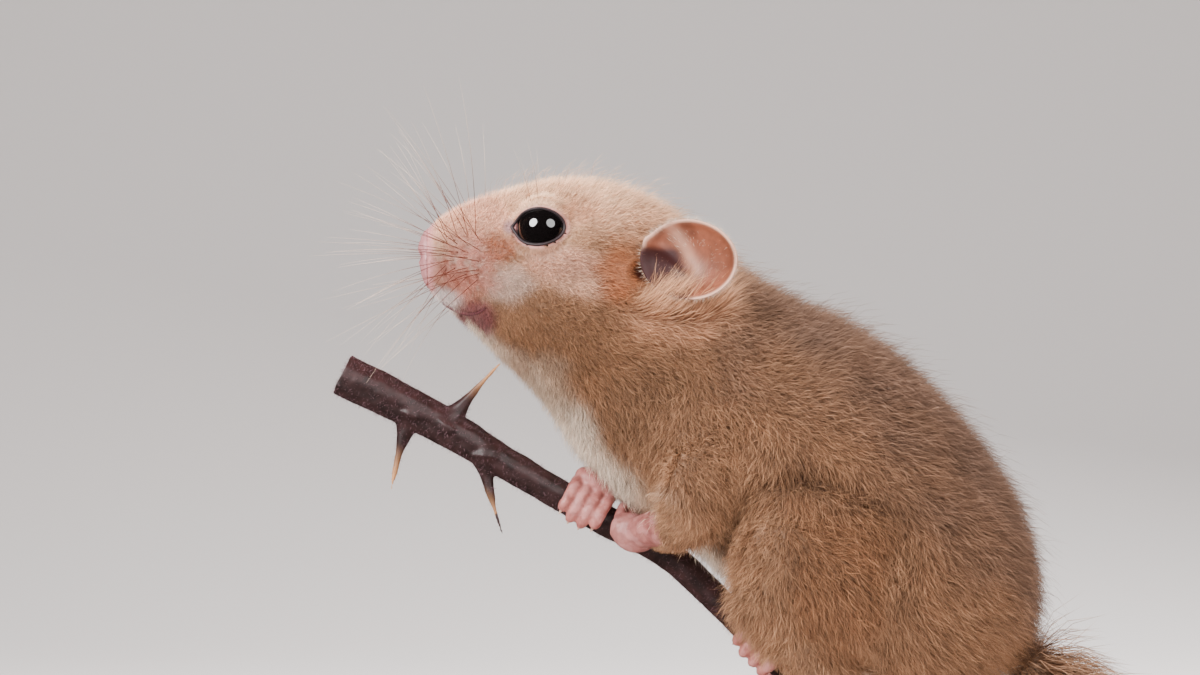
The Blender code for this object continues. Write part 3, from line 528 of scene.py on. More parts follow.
def body_places(points, lookup):
    """For each point: its place on the trunk, the lay of its fur, the coat's depth, and its leg or tail."""
    tree, surface, stations, angles, lays = lookup
    close = nearest(tree, points)[0]
    station = stations[close]
    angle = angles[close]
    distance = np.linalg.norm(points - surface[close], axis=1)
    lay = lays[close].copy()
    lay[:, 2] -= FLANK_SWEEP * smooth_step(station, 10, 13) * np.clip(1 - np.abs(np.sin(angle)), 0, 1)
    weight = 1 / (BLEND_REACH + distance) ** 2
    total = weight.copy()
    lay *= weight[:, None]
    depth = read_rows(COAT_DEPTH, station)[:, 0] * weight
    down_leg = np.zeros(len(points))
    on_leg = np.zeros(len(points))
    for rows in GUIDES.values():
        height, down, runs = along_leg(points, rows)
        weight = 1 / (BLEND_REACH + np.abs(height)) ** 2
        weight *= smooth_step(down, 0.0, 0.8)
        weight *= np.where(station < SHOULDER_STATION, 0.0, 1.0)
        lay += runs * weight[:, None]
        depth += np.interp(down, range(len(LEG_DEPTHS)), LEG_DEPTHS) * weight
        total += weight
        down_leg = np.where(weight > on_leg, down, down_leg)
        on_leg = np.maximum(on_leg, weight)
    line, runs = tail_line()
    step, distance = nearest(search_tree(line), points)
    tail_share = step / TAIL_STEPS
    away = np.abs(distance - TAIL_HALF)
    on_tail = (tail_share > 0.03) & (away < 2.5)
    weight = np.where(on_tail, TAIL_WEIGHT / (0.3 + away) ** 2, 0)
    lay += runs[step] * weight[:, None]
    depth += TAIL_DEPTH * weight
    total += weight
    return {
        "station": station,
        "angle": angle,
        "lay": unit(lay),
        "depth": depth / total,
        "leg": np.where(on_leg / total > LEG_SHARE, down_leg, 0.0),
        "on_leg": np.clip(on_leg / total, 0, 1),
        "tail": np.where(on_tail, tail_share, 0.0),
        "on_tail": np.clip(weight / total, 0, 1),
    }


# Markings

def linear(red, green, blue):
    """The linear colour for a display colour from 0 to 255."""
    return np.array([((c / 255 + 0.055) / 1.055) ** 2.4 if c > 10 else c / 3300 for c in (red, green, blue)])


LIMB = linear(172, 128, 94)
# The lip's own plum colour, darkened further as painted shade under the whisker pad.
LIP_PLUM_AND_SHADE = linear(132, 70, 74)
SNOUT = linear(206, 146, 146)
RUST = linear(160, 84, 60)
# Two places on the muzzle: middle (x, z) and half widths.
# The first is the lip's patch: its own plum colour and painted shade under the whisker pad.
LIP_AND_SHADE_PATCH = ((-35.7, 81.7), (2.4, 2.1))
WHISKER_PATCH = ((-36.6, 86.3), (3.0, 2.6))
# Patches of the face and body: middle (x, z), half widths, colour, strength.
PATCHES = [
    # Crown and forehead: their own paler fur, and a painted highlight where the light from above falls on
    # the head.
    ((-24.0, 95.5), (12.0, 5.0), linear(255, 206, 168), 0.9),
    ((-36.0, 91.5), (4.5, 2.4), linear(240, 180, 150), 0.9),
    ((-28.0, 78.6), (6.8, 5.6), linear(154, 110, 76), 0.66),
    ((-25.0, 86.0), (4.4, 2.2), linear(244, 196, 166), 0.8),
    ((-27.6, 87.0), (3.6, 1.6), linear(232, 176, 148), 0.75),
    ((-25.8, 91.8), (1.8, 1.2), linear(222, 158, 122), 0.6),
    ((-32.5, 85.0), (2.5, 1.9), linear(244, 214, 196), 0.62),
    ((-36.4, 86.4), (3.3, 3.0), linear(212, 142, 124), 0.9),
    ((-32.9, 88.6), (1.9, 1.5), linear(172, 98, 64), 0.85),
    ((-31.9, 90.6), (0.7, 0.7), linear(150, 110, 118), 0.8),
    ((-39.4, 83.6), (2.3, 1.2), linear(246, 236, 234), 0.85),
    ((-21.4, 86.2), (2.6, 3.0), linear(194, 118, 72), 0.85),
    ((-16.5, 81.6), (5.0, 2.4), linear(236, 176, 134), 0.8),
    # Painted shadow on the shoulder.
    ((-18.0, 72.5), (5.5, 4.5), linear(148, 110, 80), 0.6),
    ((-28.5, 74.5), (2.6, 3.6), linear(200, 176, 152), 0.6),
    ((-17.6, 62.6), (2.4, 3.6), linear(226, 194, 166), 0.6),
    ((-0.5, 57.0), (8.0, 7.0), linear(152, 104, 70), 0.6),
    ((-5.2, 58.3), (1.2, 2.4), linear(112, 78, 54), 0.6),
]


def patch_distance(points, middle, half):
    """How far a point is from a patch's middle, seen from the side: 1 where its half widths end."""
    return np.hypot((points[:, 0] - middle[0]) / half[0], (points[:, 2] - middle[1]) / half[1])


def blend(colour, other, weight):
    """Moves colours towards another by a weight from 0 to 1 for each point."""
    return colour + (other - colour) * weight[:, None]


def marking_colours(points, places):
    """The coat's colour at each point, with a painted highlight on the crown and painted shade on the
    shoulder, by the lip and in the thigh folds.
    """
    chosen = bpy.context.scene.dormouse_colours
    back, side, cream, crown, tail_fur, tail_tip = (
        np.array(getattr(chosen, name))
        for name in ("back", "side", "underside", "crown", "tail", "tail_tip")
    )
    rise = np.sin(places["angle"]) + 0.12 * solid_noise(points, 7, 5)
    body = smooth_step(places["station"], 8, 12)[:, None]
    pale_from = 0.62 + 0.16 * smooth_step(places["station"], 7, 11)
    top = back * body + crown * (1 - body)
    colour = blend(side, top, smooth_step(rise, 0.0, 1.05))
    colour = blend(colour, cream, smooth_step(-rise, pale_from, pale_from + 0.2))
    ragged = 0.15 * solid_noise(points, 3, 8)
    for middle, half, tint, strength in PATCHES:
        edge = smooth_step(patch_distance(points, middle, half) + ragged, 0.55, 1.35)
        colour = blend(colour, tint, strength * (1 - edge))
    # The lip's plum colour and painted shade under the whisker pad.
    lip = smooth_step(patch_distance(points, *LIP_AND_SHADE_PATCH), 0.6, 1.2)
    colour = blend(colour, LIP_PLUM_AND_SHADE, 0.9 * (1 - lip) * (rise > -0.93))
    snout = smooth_step(places["station"] + 0.25 * solid_noise(points, 1.2, 14), 1.4, 2.2)
    colour = blend(colour, SNOUT, 1 - snout)
    # Painted shade: the coat is darker in the fold round the front and top of each thigh.
    colour = colour * (1 - 0.45 * thigh_crease(points))[:, None]
    colour = blend(colour, LIMB, smooth_step(places["on_leg"], 0.3, 0.6))
    pad = np.exp(-patch_distance(points, *WHISKER_PATCH) ** 2)
    spots = smooth_step(solid_noise(points, 0.75, 33), 0.05, 0.6)
    colour = blend(colour, RUST, 0.85 * pad * spots)
    pale_spots = smooth_step(solid_noise(points, 0.9, 34), 0.15, 0.7)
    colour = blend(colour, cream, 0.5 * pad * pale_spots)
    tail = blend(tail_fur, tail_tip, places["tail"])
    colour = blend(colour, tail, places["on_tail"])
    return np.clip(colour * (1 + 0.08 * solid_noise(points, 4, 11))[:, None], 0, 1)


def add_floats(mesh, name, values):
    mesh.attributes.new(name, "FLOAT", "POINT").data.foreach_set("value", np.asarray(values, np.float32))


def add_colours(mesh, name, colours):
    rgba = np.ones((len(colours), 4), np.float32)
    rgba[:, :3] = colours
    mesh.attributes.new(name, "FLOAT_COLOR", "POINT").data.foreach_set("color", rgba.ravel())


# Shaders

def node(tree, kind, values=None, **settings):
    made = tree.nodes.new(kind)
    for name, value in settings.items():
        setattr(made, name, value)
    for socket, value in (values or {}).items():
        made.inputs[socket].default_value = value
    return made


def attribute(tree, name):
    return node(tree, "ShaderNodeAttribute", attribute_name=name)


def map_range(tree, low, high, start, end):
    values = {"From Min": low, "From Max": high, "To Min": start, "To Max": end}
    return node(tree, "ShaderNodeMapRange", values)


# Sockets of a colour mix node by their numbers, because their names repeat: its two colours and its result.
MIX_FIRST = 6
MIX_SECOND = 7
MIX_RESULT = 2


def shader_group(name, inputs, outputs):
    """A new node group with these sockets: a name and kind for each, and a starting value for each input."""
    tree = bpy.data.node_groups.new(name, "ShaderNodeTree")
    for label, kind, value in inputs:
        socket = tree.interface.new_socket(label, in_out="INPUT", socket_type=kind)
        socket.default_value = value
    for label, kind in outputs:
        tree.interface.new_socket(label, in_out="OUTPUT", socket_type=kind)
    return tree, tree.nodes.new("NodeGroupInput"), tree.nodes.new("NodeGroupOutput")


def hair_colour_group():
    """A hair's colour: dusky at its root, its marking's own at its tip, lighter or darker by its tone."""
    tree, given, out = shader_group(
        "hair_colour",
        [
            ("Marking", "NodeSocketColor", (0.5, 0.3, 0.15, 1)),
            ("Along", "NodeSocketFloat", 1.0),
            ("Tone", "NodeSocketFloat", 0.0),
        ],
        [("Colour", "NodeSocketColor")],
    )
    link = tree.links.new
    dusk = node(tree, "ShaderNodeMix", {"Factor": 1.0}, data_type="RGBA", blend_type="MULTIPLY")
    dusk.inputs[MIX_SECOND].default_value = (0.36, 0.27, 0.24, 1)
    link(given.outputs["Marking"], dusk.inputs[MIX_FIRST])
    fade = map_range(tree, 0.0, 0.75, 0.0, 1.0)
    link(given.outputs["Along"], fade.inputs["Value"])
    body = node(tree, "ShaderNodeMix", data_type="RGBA")
    link(fade.outputs["Result"], body.inputs["Factor"])
    link(dusk.outputs[MIX_RESULT], body.inputs[MIX_FIRST])
    link(given.outputs["Marking"], body.inputs[MIX_SECOND])
    shade = map_range(tree, -1.0, 1.0, 0.62, 1.45)
    link(given.outputs["Tone"], shade.inputs["Value"])
    toned = node(tree, "ShaderNodeVectorMath", operation="SCALE")
    link(body.outputs[MIX_RESULT], toned.inputs["Vector"])
    link(shade.outputs["Result"], toned.inputs["Scale"])
    link(toned.outputs["Vector"], out.inputs["Colour"])
    return tree


def mottle_group():
    """Blends two colours by soft noise on the piece's own coordinates, with a fine height for a bump."""
    tree, given, out = shader_group(
        "mottle",
        [
            ("First", "NodeSocketColor", (0.5, 0.3, 0.25, 1)),
            ("Second", "NodeSocketColor", (0.3, 0.15, 0.12, 1)),
            ("Scale", "NodeSocketFloat", 900.0),
            ("Stretch", "NodeSocketVector", (1, 1, 1)),
        ],
        [("Colour", "NodeSocketColor"), ("Height", "NodeSocketFloat")],
    )
    link = tree.links.new
    place = node(tree, "ShaderNodeTexCoord")
    stretched = node(tree, "ShaderNodeVectorMath", operation="MULTIPLY")
    link(place.outputs["Object"], stretched.inputs[0])
    link(given.outputs["Stretch"], stretched.inputs[1])
    noise = node(tree, "ShaderNodeTexNoise", {"Detail": 4.0, "Roughness": 0.6})
    link(stretched.outputs["Vector"], noise.inputs["Vector"])
    link(given.outputs["Scale"], noise.inputs["Scale"])
    wide = map_range(tree, 0.35, 0.65, 0.0, 1.0)
    link(noise.outputs["Fac"], wide.inputs["Value"])
    mixed = node(tree, "ShaderNodeMix", data_type="RGBA")
    link(wide.outputs["Result"], mixed.inputs["Factor"])
    link(given.outputs["First"], mixed.inputs[MIX_FIRST])
    link(given.outputs["Second"], mixed.inputs[MIX_SECOND])
    link(mixed.outputs[MIX_RESULT], out.inputs["Colour"])
    link(noise.outputs["Fac"], out.inputs["Height"])
    return tree


def shared_group(name, build):
    return bpy.data.node_groups.get(name) or build()


def new_material(name, roughness, **sockets):
    """A material, with its node tree and shader if it is new. If it was made before, these are None."""
    material = bpy.data.materials.get(name)
    if material:
        return material, None, None
    material = bpy.data.materials.new(name)
    material.use_nodes = True
    shader = material.node_tree.nodes["Principled BSDF"]
    shader.inputs["Roughness"].default_value = roughness
    for label, value in sockets.items():
        shader.inputs[label.replace("_", " ")].default_value = value
    return material, material.node_tree, shader


def plain_material(name, colour, roughness, **sockets):
    """A material of one linear colour."""
    return new_material(name, roughness, Base_Color=(*colour, 1), **sockets)[0]


def coat_material():
    material, tree, shader = new_material("coat_hair", 0.55, Specular_IOR_Level=0.35)
    if tree:
        hair = node(tree, "ShaderNodeGroup", node_tree=shared_group("hair_colour", hair_colour_group))
        tree.links.new(attribute(tree, "marking").outputs["Color"], hair.inputs["Marking"])
        tree.links.new(attribute(tree, "along").outputs["Fac"], hair.inputs["Along"])
        tree.links.new(attribute(tree, "tone").outputs["Fac"], hair.inputs["Tone"])
        tree.links.new(hair.outputs["Colour"], shader.inputs["Base Color"])
    return material


SHADE_COLOUR = (52, 20, 20)


def tinted(tree, name, colour, tint):
    """Blends a colour towards a tint by a piece's own attribute of this name."""
    mixed = node(tree, "ShaderNodeMix", data_type="RGBA")
    mixed.inputs[MIX_SECOND].default_value = (*linear(*tint), 1)
    tree.links.new(attribute(tree, name).outputs["Fac"], mixed.inputs["Factor"])
    tree.links.new(colour, mixed.inputs[MIX_FIRST])
    return mixed.outputs[MIX_RESULT]


def mottled_material(
    name, first, second, scale, roughness, bump=0.2, stretch=(1, 1, 1), tint=None, **sockets,
):
    """A material of two mottled colours. With a tint, it and a dark shade follow attributes of the piece."""
    material, tree, shader = new_material(name, roughness, **sockets)
    if tree:
        mottle = node(tree, "ShaderNodeGroup", node_tree=shared_group("mottle", mottle_group))
        mottle.inputs["First"].default_value = (*linear(*first), 1)
        mottle.inputs["Second"].default_value = (*linear(*second), 1)
        mottle.inputs["Scale"].default_value = scale
        mottle.inputs["Stretch"].default_value = stretch
        colour = mottle.outputs["Colour"]
        if tint:
            colour = tinted(tree, "tint", colour, tint)
            colour = tinted(tree, "shade", colour, SHADE_COLOUR)
        tree.links.new(colour, shader.inputs["Base Color"])
        relief = node(tree, "ShaderNodeBump", {"Strength": bump, "Distance": 0.0001})
        tree.links.new(mottle.outputs["Height"], relief.inputs["Height"])
        tree.links.new(relief.outputs["Normal"], shader.inputs["Normal"])
    return material


def bare_material():
    return mottled_material(
        "bare_surface", (170, 104, 96), (136, 76, 70), 1400.0, 0.5, 0.3, tint=(208, 148, 144),
        Specular_IOR_Level=0.4,
    )


# The skin

def eye_frame(side):
    """The eye's middle, and its axes in rows: towards the tail, outward along its aim, and downward."""
    flip = np.array([1, side, 1])
    aim = unit(EYE_AIM * flip)
    back = unit(np.array([1.0, 0, 0]) - aim * aim[0])
    return EYE_PLACE * flip, np.stack([back, aim, np.cross(back, aim) * -side])


def eye_distance(points, side):
    """How far round the eye's opening a point is: 1 on its rim. Points on the other side are far."""
    middle, axes = eye_frame(side)
    local = (points - middle) @ axes.T
    e = np.hypot(local[:, 0] / EYE_OPENING[0], local[:, 2] / EYE_OPENING[1])
    return np.where(local[:, 1] > -1.0, e, FAR), local, middle, axes


def ear_distance(points, zone, side):
    """How far a point is from the middle of a zone at an ear: 1 where its half widths end."""
    middle, half = EAR_ZONES[zone]
    return np.linalg.norm((points - np.array(middle) * (1, side, 1)) / half, axis=1)


SOCKET_RADIUS = 2.0
LID_CLEARANCE = 0.1
LID_SWELL = 0.3
LID_END = 2.1  # how far out the lids reach: the opening's rim is at 1


def sculpt_eyes(points):
    """Sinks the skin behind each eyeball and lays it on the ball around the opening, as lids."""
    for side in (-1, 1):
        e, local, middle, axes = eye_distance(points, side)
        # Points near the opening's edge go to it, so that the edge comes out even.
        snap = np.where((e > 0.88) & (e < 1), 0.97 / e, 1.0)
        snap = np.where((e >= 1) & (e < 1.14), 1.0 / e, snap)
        local[:, 0] *= snap
        local[:, 2] *= snap
        across = local[:, 0] ** 2 + local[:, 2] ** 2
        goal = EYE_RADIUS + LID_CLEARANCE + LID_SWELL * smooth_step(e, 1.0, 1.6)
        lid = np.sqrt(np.maximum(goal ** 2 - across, 0))
        pull = np.where(local[:, 1] < lid, 1 - smooth_step(e, 1.7, LID_END), 1 - smooth_step(e, 1.0, 1.5))
        raised = local[:, 1] + (lid - local[:, 1]) * pull * (lid > 0)
        sunk = np.minimum(local[:, 1], np.sqrt(np.maximum(SOCKET_RADIUS ** 2 - across, 0)))
        local[:, 1] = np.where(e < 1, sunk, raised)
        moved = e < LID_END
        points[moved] = (local[moved] @ axes) + middle
    return points


def mouth_line(steps=60):
    """Points on the trunk along the mouth, from its left corner round the front to its right one."""
    share = np.linspace(-1, 1, steps)
    t = MOUTH_STATIONS[0] + (MOUTH_STATIONS[1] - MOUTH_STATIONS[0]) * np.abs(share) ** 0.8
    rise = np.radians(MOUTH_ANGLES[0] + (MOUTH_ANGLES[1] - MOUTH_ANGLES[0]) * np.abs(share)) * np.sign(share)
    return trunk_points(t, np.radians(270) + rise)


def mouth_distance(points):
    """The distance from each point at the front of the head to the mouth's line. Others are far."""
    distance = np.full(len(points), FAR)
    front = points[:, 0] < HEAD_END
    best = np.full(front.sum(), np.inf)
    for p in mouth_line():
        best = np.minimum(best, np.linalg.norm(points[front] - p, axis=1))
    distance[front] = best
    return distance


SKIN_CELL = 0.36
SKIN_FIRST = 1.15
SKIN_RINGS = 130
LEG_SWELL = 0.45
# The tail under its hair: its radius at these shares of its length.
CORE_SHARES = (0, 0.1, 0.5, 0.88, 1)
CORE_RADII = (2.4, 2.5, 2.3, 1.6, 0.7)
CREASE_DEPTH = 0.7
GROOVE_DEPTH = 0.35
EAR_SINK = 1.6
EAR_SINK_EDGE = 1.35
BARE_PINK = linear(176, 118, 116)
# Near black, for the painted shade in each ear's hollow.
EAR_HOLLOW_SHADE = linear(58, 20, 21)


def make_skin():
    """One skin for the trunk, legs and tail, sunk by the depth of the coat that grows on it."""
    shapes = [closed_loft("trunk", trunk_rings(SKIN_FIRST, LAST_STATION, SKIN_RINGS))]
    for name in GUIDES:
        leg = node_copy(name)
        for vertex, normal in [(v, v.normal.copy()) for v in leg.data.vertices]:
            vertex.co += normal * LEG_SWELL * MM
        shapes.append(leg)
    line, _ = tail_line()
    radii = np.interp(np.linspace(0, 1, len(line)), CORE_SHARES, CORE_RADII)
    shapes.append(tube("tail_core", line[::3], radii[::3], 20))
    skin = fuse(join(shapes, "skin"), SKIN_CELL)
    points, quads = read_mesh(skin)
    points = smoothed(points, quads, 7)
    places = body_places(points, trunk_lookup())
    sink = places["depth"] + CREASE_DEPTH * thigh_crease(points)
    points = points - quad_normals(points, quads) * sink[:, None]
    points = smoothed(points, quads, 2)
    points = sculpt_eyes(points)
    groove = mouth_distance(points)
    sink = GROOVE_DEPTH * np.exp(-(groove / 0.35) ** 2)
    points = points - quad_normals(points, quads) * sink[:, None]
    for side in (-1, 1):
        inside = np.clip(EAR_SINK_EDGE - ear_distance(points, "sunk", side), 0, 1)
        points[:, 1] -= side * (inside * EAR_SINK)
    write_points(skin, points)
    bare = np.exp(-(groove / 0.55) ** 2)
    # The skin in each ear's hollow is painted near black, as painted shade.
    dark = np.zeros(len(points))
    for side in (-1, 1):
        bare = np.maximum(bare, 1 - smooth_step(eye_distance(points, side)[0], 1.02, 1.25))
        dark = np.maximum(dark, 1 - smooth_step(ear_distance(points, "dark", side), 0.7, 1.2))
    bare = np.maximum(bare, 1 - smooth_step(places["station"], 1.5, 2.3))
    colours = marking_colours(points, places) * 0.5
    colours = blend(colours, BARE_PINK, bare)
    colours = blend(colours, EAR_HOLLOW_SHADE, dark)
    add_colours(skin.data, "marking", colours)
    add_floats(skin.data, "along", np.ones(len(points)))
    add_floats(skin.data, "tone", np.zeros(len(points)))
    skin.data.shade_smooth()
    nodes = (
        "head", "neck", "torso", "foreleg_left", "foreleg_right", "hindleg_left", "hindleg_right", "tail",
    )
    present(skin, coat_material(), "coat", *nodes)


# The coat

# Kinds of hair: the fine under coat, the longer coat over it, standing guard hairs and the tail's. Each has
# its number to the square millimetre by trunk station, its length for each millimetre of the coat's depth,
# how much it clumps, and whether it has a bend.
HAIR_KINDS = (
    ("fine", ((0, 68), (6, 66), (9, 55), (12, 36)), 1.3, 0.12, False),
    ("long", ((0, 0), (4, 1.5), (8, 4), (12, 5.5)), 1.4, 0.2, True),
    ("guard", ((0, 0), (3, 1.0), (9, 1.4), (12, 0.8)), 1.6, 0, True),
    ("tail", ((0, 17), (20, 17)), 1, 0.2, True),
)
BENT_IN_PIECE = 19500
STRAIGHT_IN_PIECE = 49000
ROUGH_STEP = 7  # one face in so many is looked up, and the others take after it

# One hair: how far its root is sunk, its side sway as a share of its length, and the bend's shares of its
# reach, rise and sway.
ROOT_DEPTH = 0.12
SWAY = 0.12
KNEE_REACH = 0.45
KNEE_RISE = 0.72
KNEE_SWAY = 0.3
# Clumps: hairs in each, how far they are gathered from, the share of the pull that the bend follows, and how
# much the clumps differ in tone.
CLUMP_SIZE = 14
CLUMP_REACH = 2.0
KNEE_PULL = 0.35
CLUMP_TONE = 0.35
# Faces of a hair by its points: a triangle at the foot, one at the bend if it has one, and the tip.
BENT_FACES = (
    (2, 1, 0), (0, 1, 4), (0, 4, 3), (3, 4, 6), (1, 2, 5),
    (1, 5, 4), (4, 5, 6), (2, 0, 3), (2, 3, 5), (5, 3, 6),
)
STRAIGHT_FACES = ((2, 1, 0), (0, 1, 3), (1, 2, 3), (2, 0, 3))
# Where each point of a bent hair lies on its small patch of the unwrap.
HAIR_PATCH = np.array([(0, 0), (0.4, 0), (0.8, 0), (0, 0.5), (0.4, 0.5), (0.8, 0.5), (0.4, 1.0)])
PATCH_SIZE = 0.003


def clumped(roots, picks):
    """For each hair, the picked hair that its clump gathers to, and whether that one is near enough."""
    owner = picks[nearest(search_tree(roots[picks]), roots)[0]]
    return owner, np.linalg.norm(roots - roots[owner], axis=1) < CLUMP_REACH


def strand_mesh(name, hairs, clump, rng, bent=True):
    """A solid mesh of many tapered hairs. Bent ones have a second ring half-way.

    The hairs are arrays with a row for each one: roots, normals, lays, lengths, lifts, widths, tone, marking
    and unwrap.
    """
    roots, normals, lays, tone = (hairs[key] for key in ("roots", "normals", "lays", "tone"))
    count = len(roots)
    side = unit(np.cross(normals, lays))
    rise = np.sin(hairs["lifts"]) * hairs["lengths"]
    reach = np.cos(hairs["lifts"]) * hairs["lengths"]
    sway = rng.normal(0, SWAY, count) * hairs["lengths"]

    def grown(who, forward, upward):
        """Points above these hairs' roots, by shares of each hair's own reach and rise."""
        return roots[who] + lays[who] * (reach * forward)[:, None] + normals[who] * (rise * upward)[:, None]

    own = np.arange(count)
    tip = grown(own, 1, 1) + side * sway[:, None]
    knee = grown(own, KNEE_REACH, KNEE_RISE) + side * (sway * KNEE_SWAY)[:, None]
    if clump > 0:
        picks = rng.choice(count, max(count // CLUMP_SIZE, 1), replace=False)
        owner, close = clumped(roots, picks)
        pull = (clump * rng.uniform(0.6, 1.1, count) * close)[:, None]
        tip = tip + (grown(owner, 1, 1) - tip) * pull
        knee = knee + (grown(owner, KNEE_REACH, KNEE_RISE) - knee) * pull * KNEE_PULL
        tone = tone + CLUMP_TONE * rng.normal(0, 1, count)[owner] * close
    spin = rng.uniform(0, 2 * math.pi, count)[:, None] + turns(3)
    across = side[:, None, :] * np.cos(spin)[..., None] + normals[:, None, :] * np.sin(spin)[..., None]
    base = roots - normals * ROOT_DEPTH
    rings = [base[:, None, :] + across * (hairs["widths"] / 2)[:, None, None]]
    if bent:
        rings.append(knee[:, None, :] + across * (hairs["widths"] * 0.45)[:, None, None])
    verts = np.concatenate([*rings, tip[:, None, :]], axis=1)
    size = verts.shape[1]
    outward = np.cross(verts[:, 1] - verts[:, 0], verts[:, 2] - verts[:, 0])
    flipped = np.einsum("ij,ij->i", outward, tip - base) < 0
    verts[flipped] = verts[flipped][:, [0, 2, 1, 3, 5, 4, 6] if bent else [0, 2, 1, 3]]
    faces = np.array(BENT_FACES if bent else STRAIGHT_FACES)
    all_faces = (np.arange(count) * size)[:, None, None] + faces[None]
    obj = mesh_object(name, verts.reshape(-1, 3), all_faces.reshape(-1, 3))
    along = [0, 0, 0, 0.55, 0.55, 0.55, 1.0] if bent else [0, 0, 0, 1.0]
    add_floats(obj.data, "along", np.tile(along, count))
    add_floats(obj.data, "tone", np.repeat(np.clip(tone, -1, 1), size))
    add_colours(obj.data, "marking", np.repeat(hairs["marking"], size, axis=0))
    patch = HAIR_PATCH if bent else HAIR_PATCH[[0, 1, 2, 6]]
    uv = hairs["unwrap"][:, None, :] + patch[None] * PATCH_SIZE
    uv = uv.reshape(-1, 2)[all_faces.reshape(-1)]
    obj.data.uv_layers.new(name="OFBake").data.foreach_set("uv", uv.astype(np.float32).ravel())
    present(obj, coat_material(), "coat")


def unwrapped(places, points):
    """The place of each root on an unwrap of the skin: the trunk, the legs and the tail each have a cell."""
    turn = (places["angle"] / (2 * math.pi)) % 1
    u = 0.02 + 0.60 * places["station"] / LAST_STATION
    v = 0.02 + 0.94 * turn
    leg = places["on_leg"] > 0.5
    cell = (points[:, 1] > 0) * 0.5
    spin = (np.arctan2(points[:, 1], points[:, 0]) / (2 * math.pi)) % 1
    u = np.where(leg, 0.65 + 0.14 * np.clip(places["leg"] / 3, 0, 1), u)
    v = np.where(leg, 0.02 + cell + 0.44 * spin, v)
    tail = places["on_tail"] > 0.5
    u = np.where(tail, 0.82 + 0.15 * places["tail"], u)
    v = np.where(tail, 0.02 + 0.94 * spin, v)
    return np.stack([u, v], 1)


def scatter(points, quads, density, rng):
    """Random roots on the skin, with so many to the square millimetre on each face."""
    a, b, c, d = (points[quads[:, k]] for k in range(4))
    area = np.linalg.norm(np.cross(c - a, d - b), axis=1) / 2
    want = area * density
    number = np.floor(want + rng.uniform(0, 1, len(want))).astype(int)
    owner = np.repeat(np.arange(len(quads)), number)
    u = rng.uniform(0, 1, (len(owner), 1))
    v = rng.uniform(0, 1, (len(owner), 1))
    roots = (a[owner] * (1 - u) + b[owner] * u) * (1 - v) + (d[owner] * (1 - u) + c[owner] * u) * v
    return roots, owner


THIGHS = {-1: (-1.6, 57.2), 1: (1.8, 55.2)}
THIGH_HALF = (10.6, 8.6)
THIGH_TILT = math.radians(34)


def thigh_crease(points):
    """How near a point is to the fold round the front and top of each thigh: 1 in the fold. The coat is
    darkened there as painted shade.
    """
    fold = np.zeros(len(points))
    for side, middle in THIGHS.items():
        x = points[:, 0] - middle[0]
        z = points[:, 2] - middle[1]
        u = (x * math.cos(THIGH_TILT) - z * math.sin(THIGH_TILT)) / THIGH_HALF[0]
        w = (x * math.sin(THIGH_TILT) + z * math.cos(THIGH_TILT)) / THIGH_HALF[1]
        ring = np.exp(-((np.hypot(u, w) - 0.97) / 0.09) ** 2)
        front = smooth_step(-u + 0.5 * w, -0.1, 0.7)
        fold = np.maximum(fold, ring * front * (points[:, 1] * side > 5))
    return fold


def ear_tufts(points, side):
    """How near a point is to the tufts that stand in front of an ear's lower edge: 1 among them."""
    return 1 - smooth_step(ear_distance(points, "tufts", side), 0.7, 1.25)


def bare_places(points, places):
    """Where no hair grows: on the eyes, nose, lips and ear holes."""
    bare = places["station"] < 1.1
    for side in (-1, 1):
        bare |= eye_distance(points, side)[0] < 1.12
        bare |= ear_distance(points, "bare", side) < 1
    return bare | (mouth_distance(points) < 0.4)


def near_openings(points):
    """Close round the eyes and ear holes, where only the fine hairs grow."""
    near = np.zeros(len(points), bool)
    for side in (-1, 1):
        near |= eye_distance(points, side)[0] < 1.9
        near |= ear_distance(points, "near", side) < 1
    return near


def make_coat():
    """Grows each kind of hair from the skin, thick or thin by place."""
    points, quads = read_mesh(bpy.data.objects["skin"])
    normals = quad_normals(points, quads)
    lookup = trunk_lookup()
    rng = np.random.default_rng(12)
    centre = points[quads].mean(1)
    rough = body_places(centre[::ROUGH_STEP], lookup)
    like = nearest(search_tree(centre[::ROUGH_STEP]), centre)[0]
    station = rough["station"][like]
    on_tail = rough["on_tail"][like]
    rise = np.sin(rough["angle"][like])
    amount = bpy.context.scene.dormouse_sizes.hair_amount * 1.0
    for kind in HAIR_KINDS:
        label, densities, _, _, bent = kind
        density = np.interp(station, *zip(*densities))
        density = np.where((on_tail > 0.5) == (label == "tail"), density, 0)
        if label == "guard":
            density = density * smooth_step(rise, 0.1, 0.6)
        roots, owner = scatter(points, quads, density * amount, rng)
        normal = unit(normals[quads[owner]].mean(1))
        places = body_places(roots, lookup)
        keep = ~bare_places(roots, places)
        if bent:
            keep &= ~near_openings(roots)
        places = {name: value[keep] for name, value in places.items()}
        grow_hair(kind, roots[keep], normal[keep], places, rng)


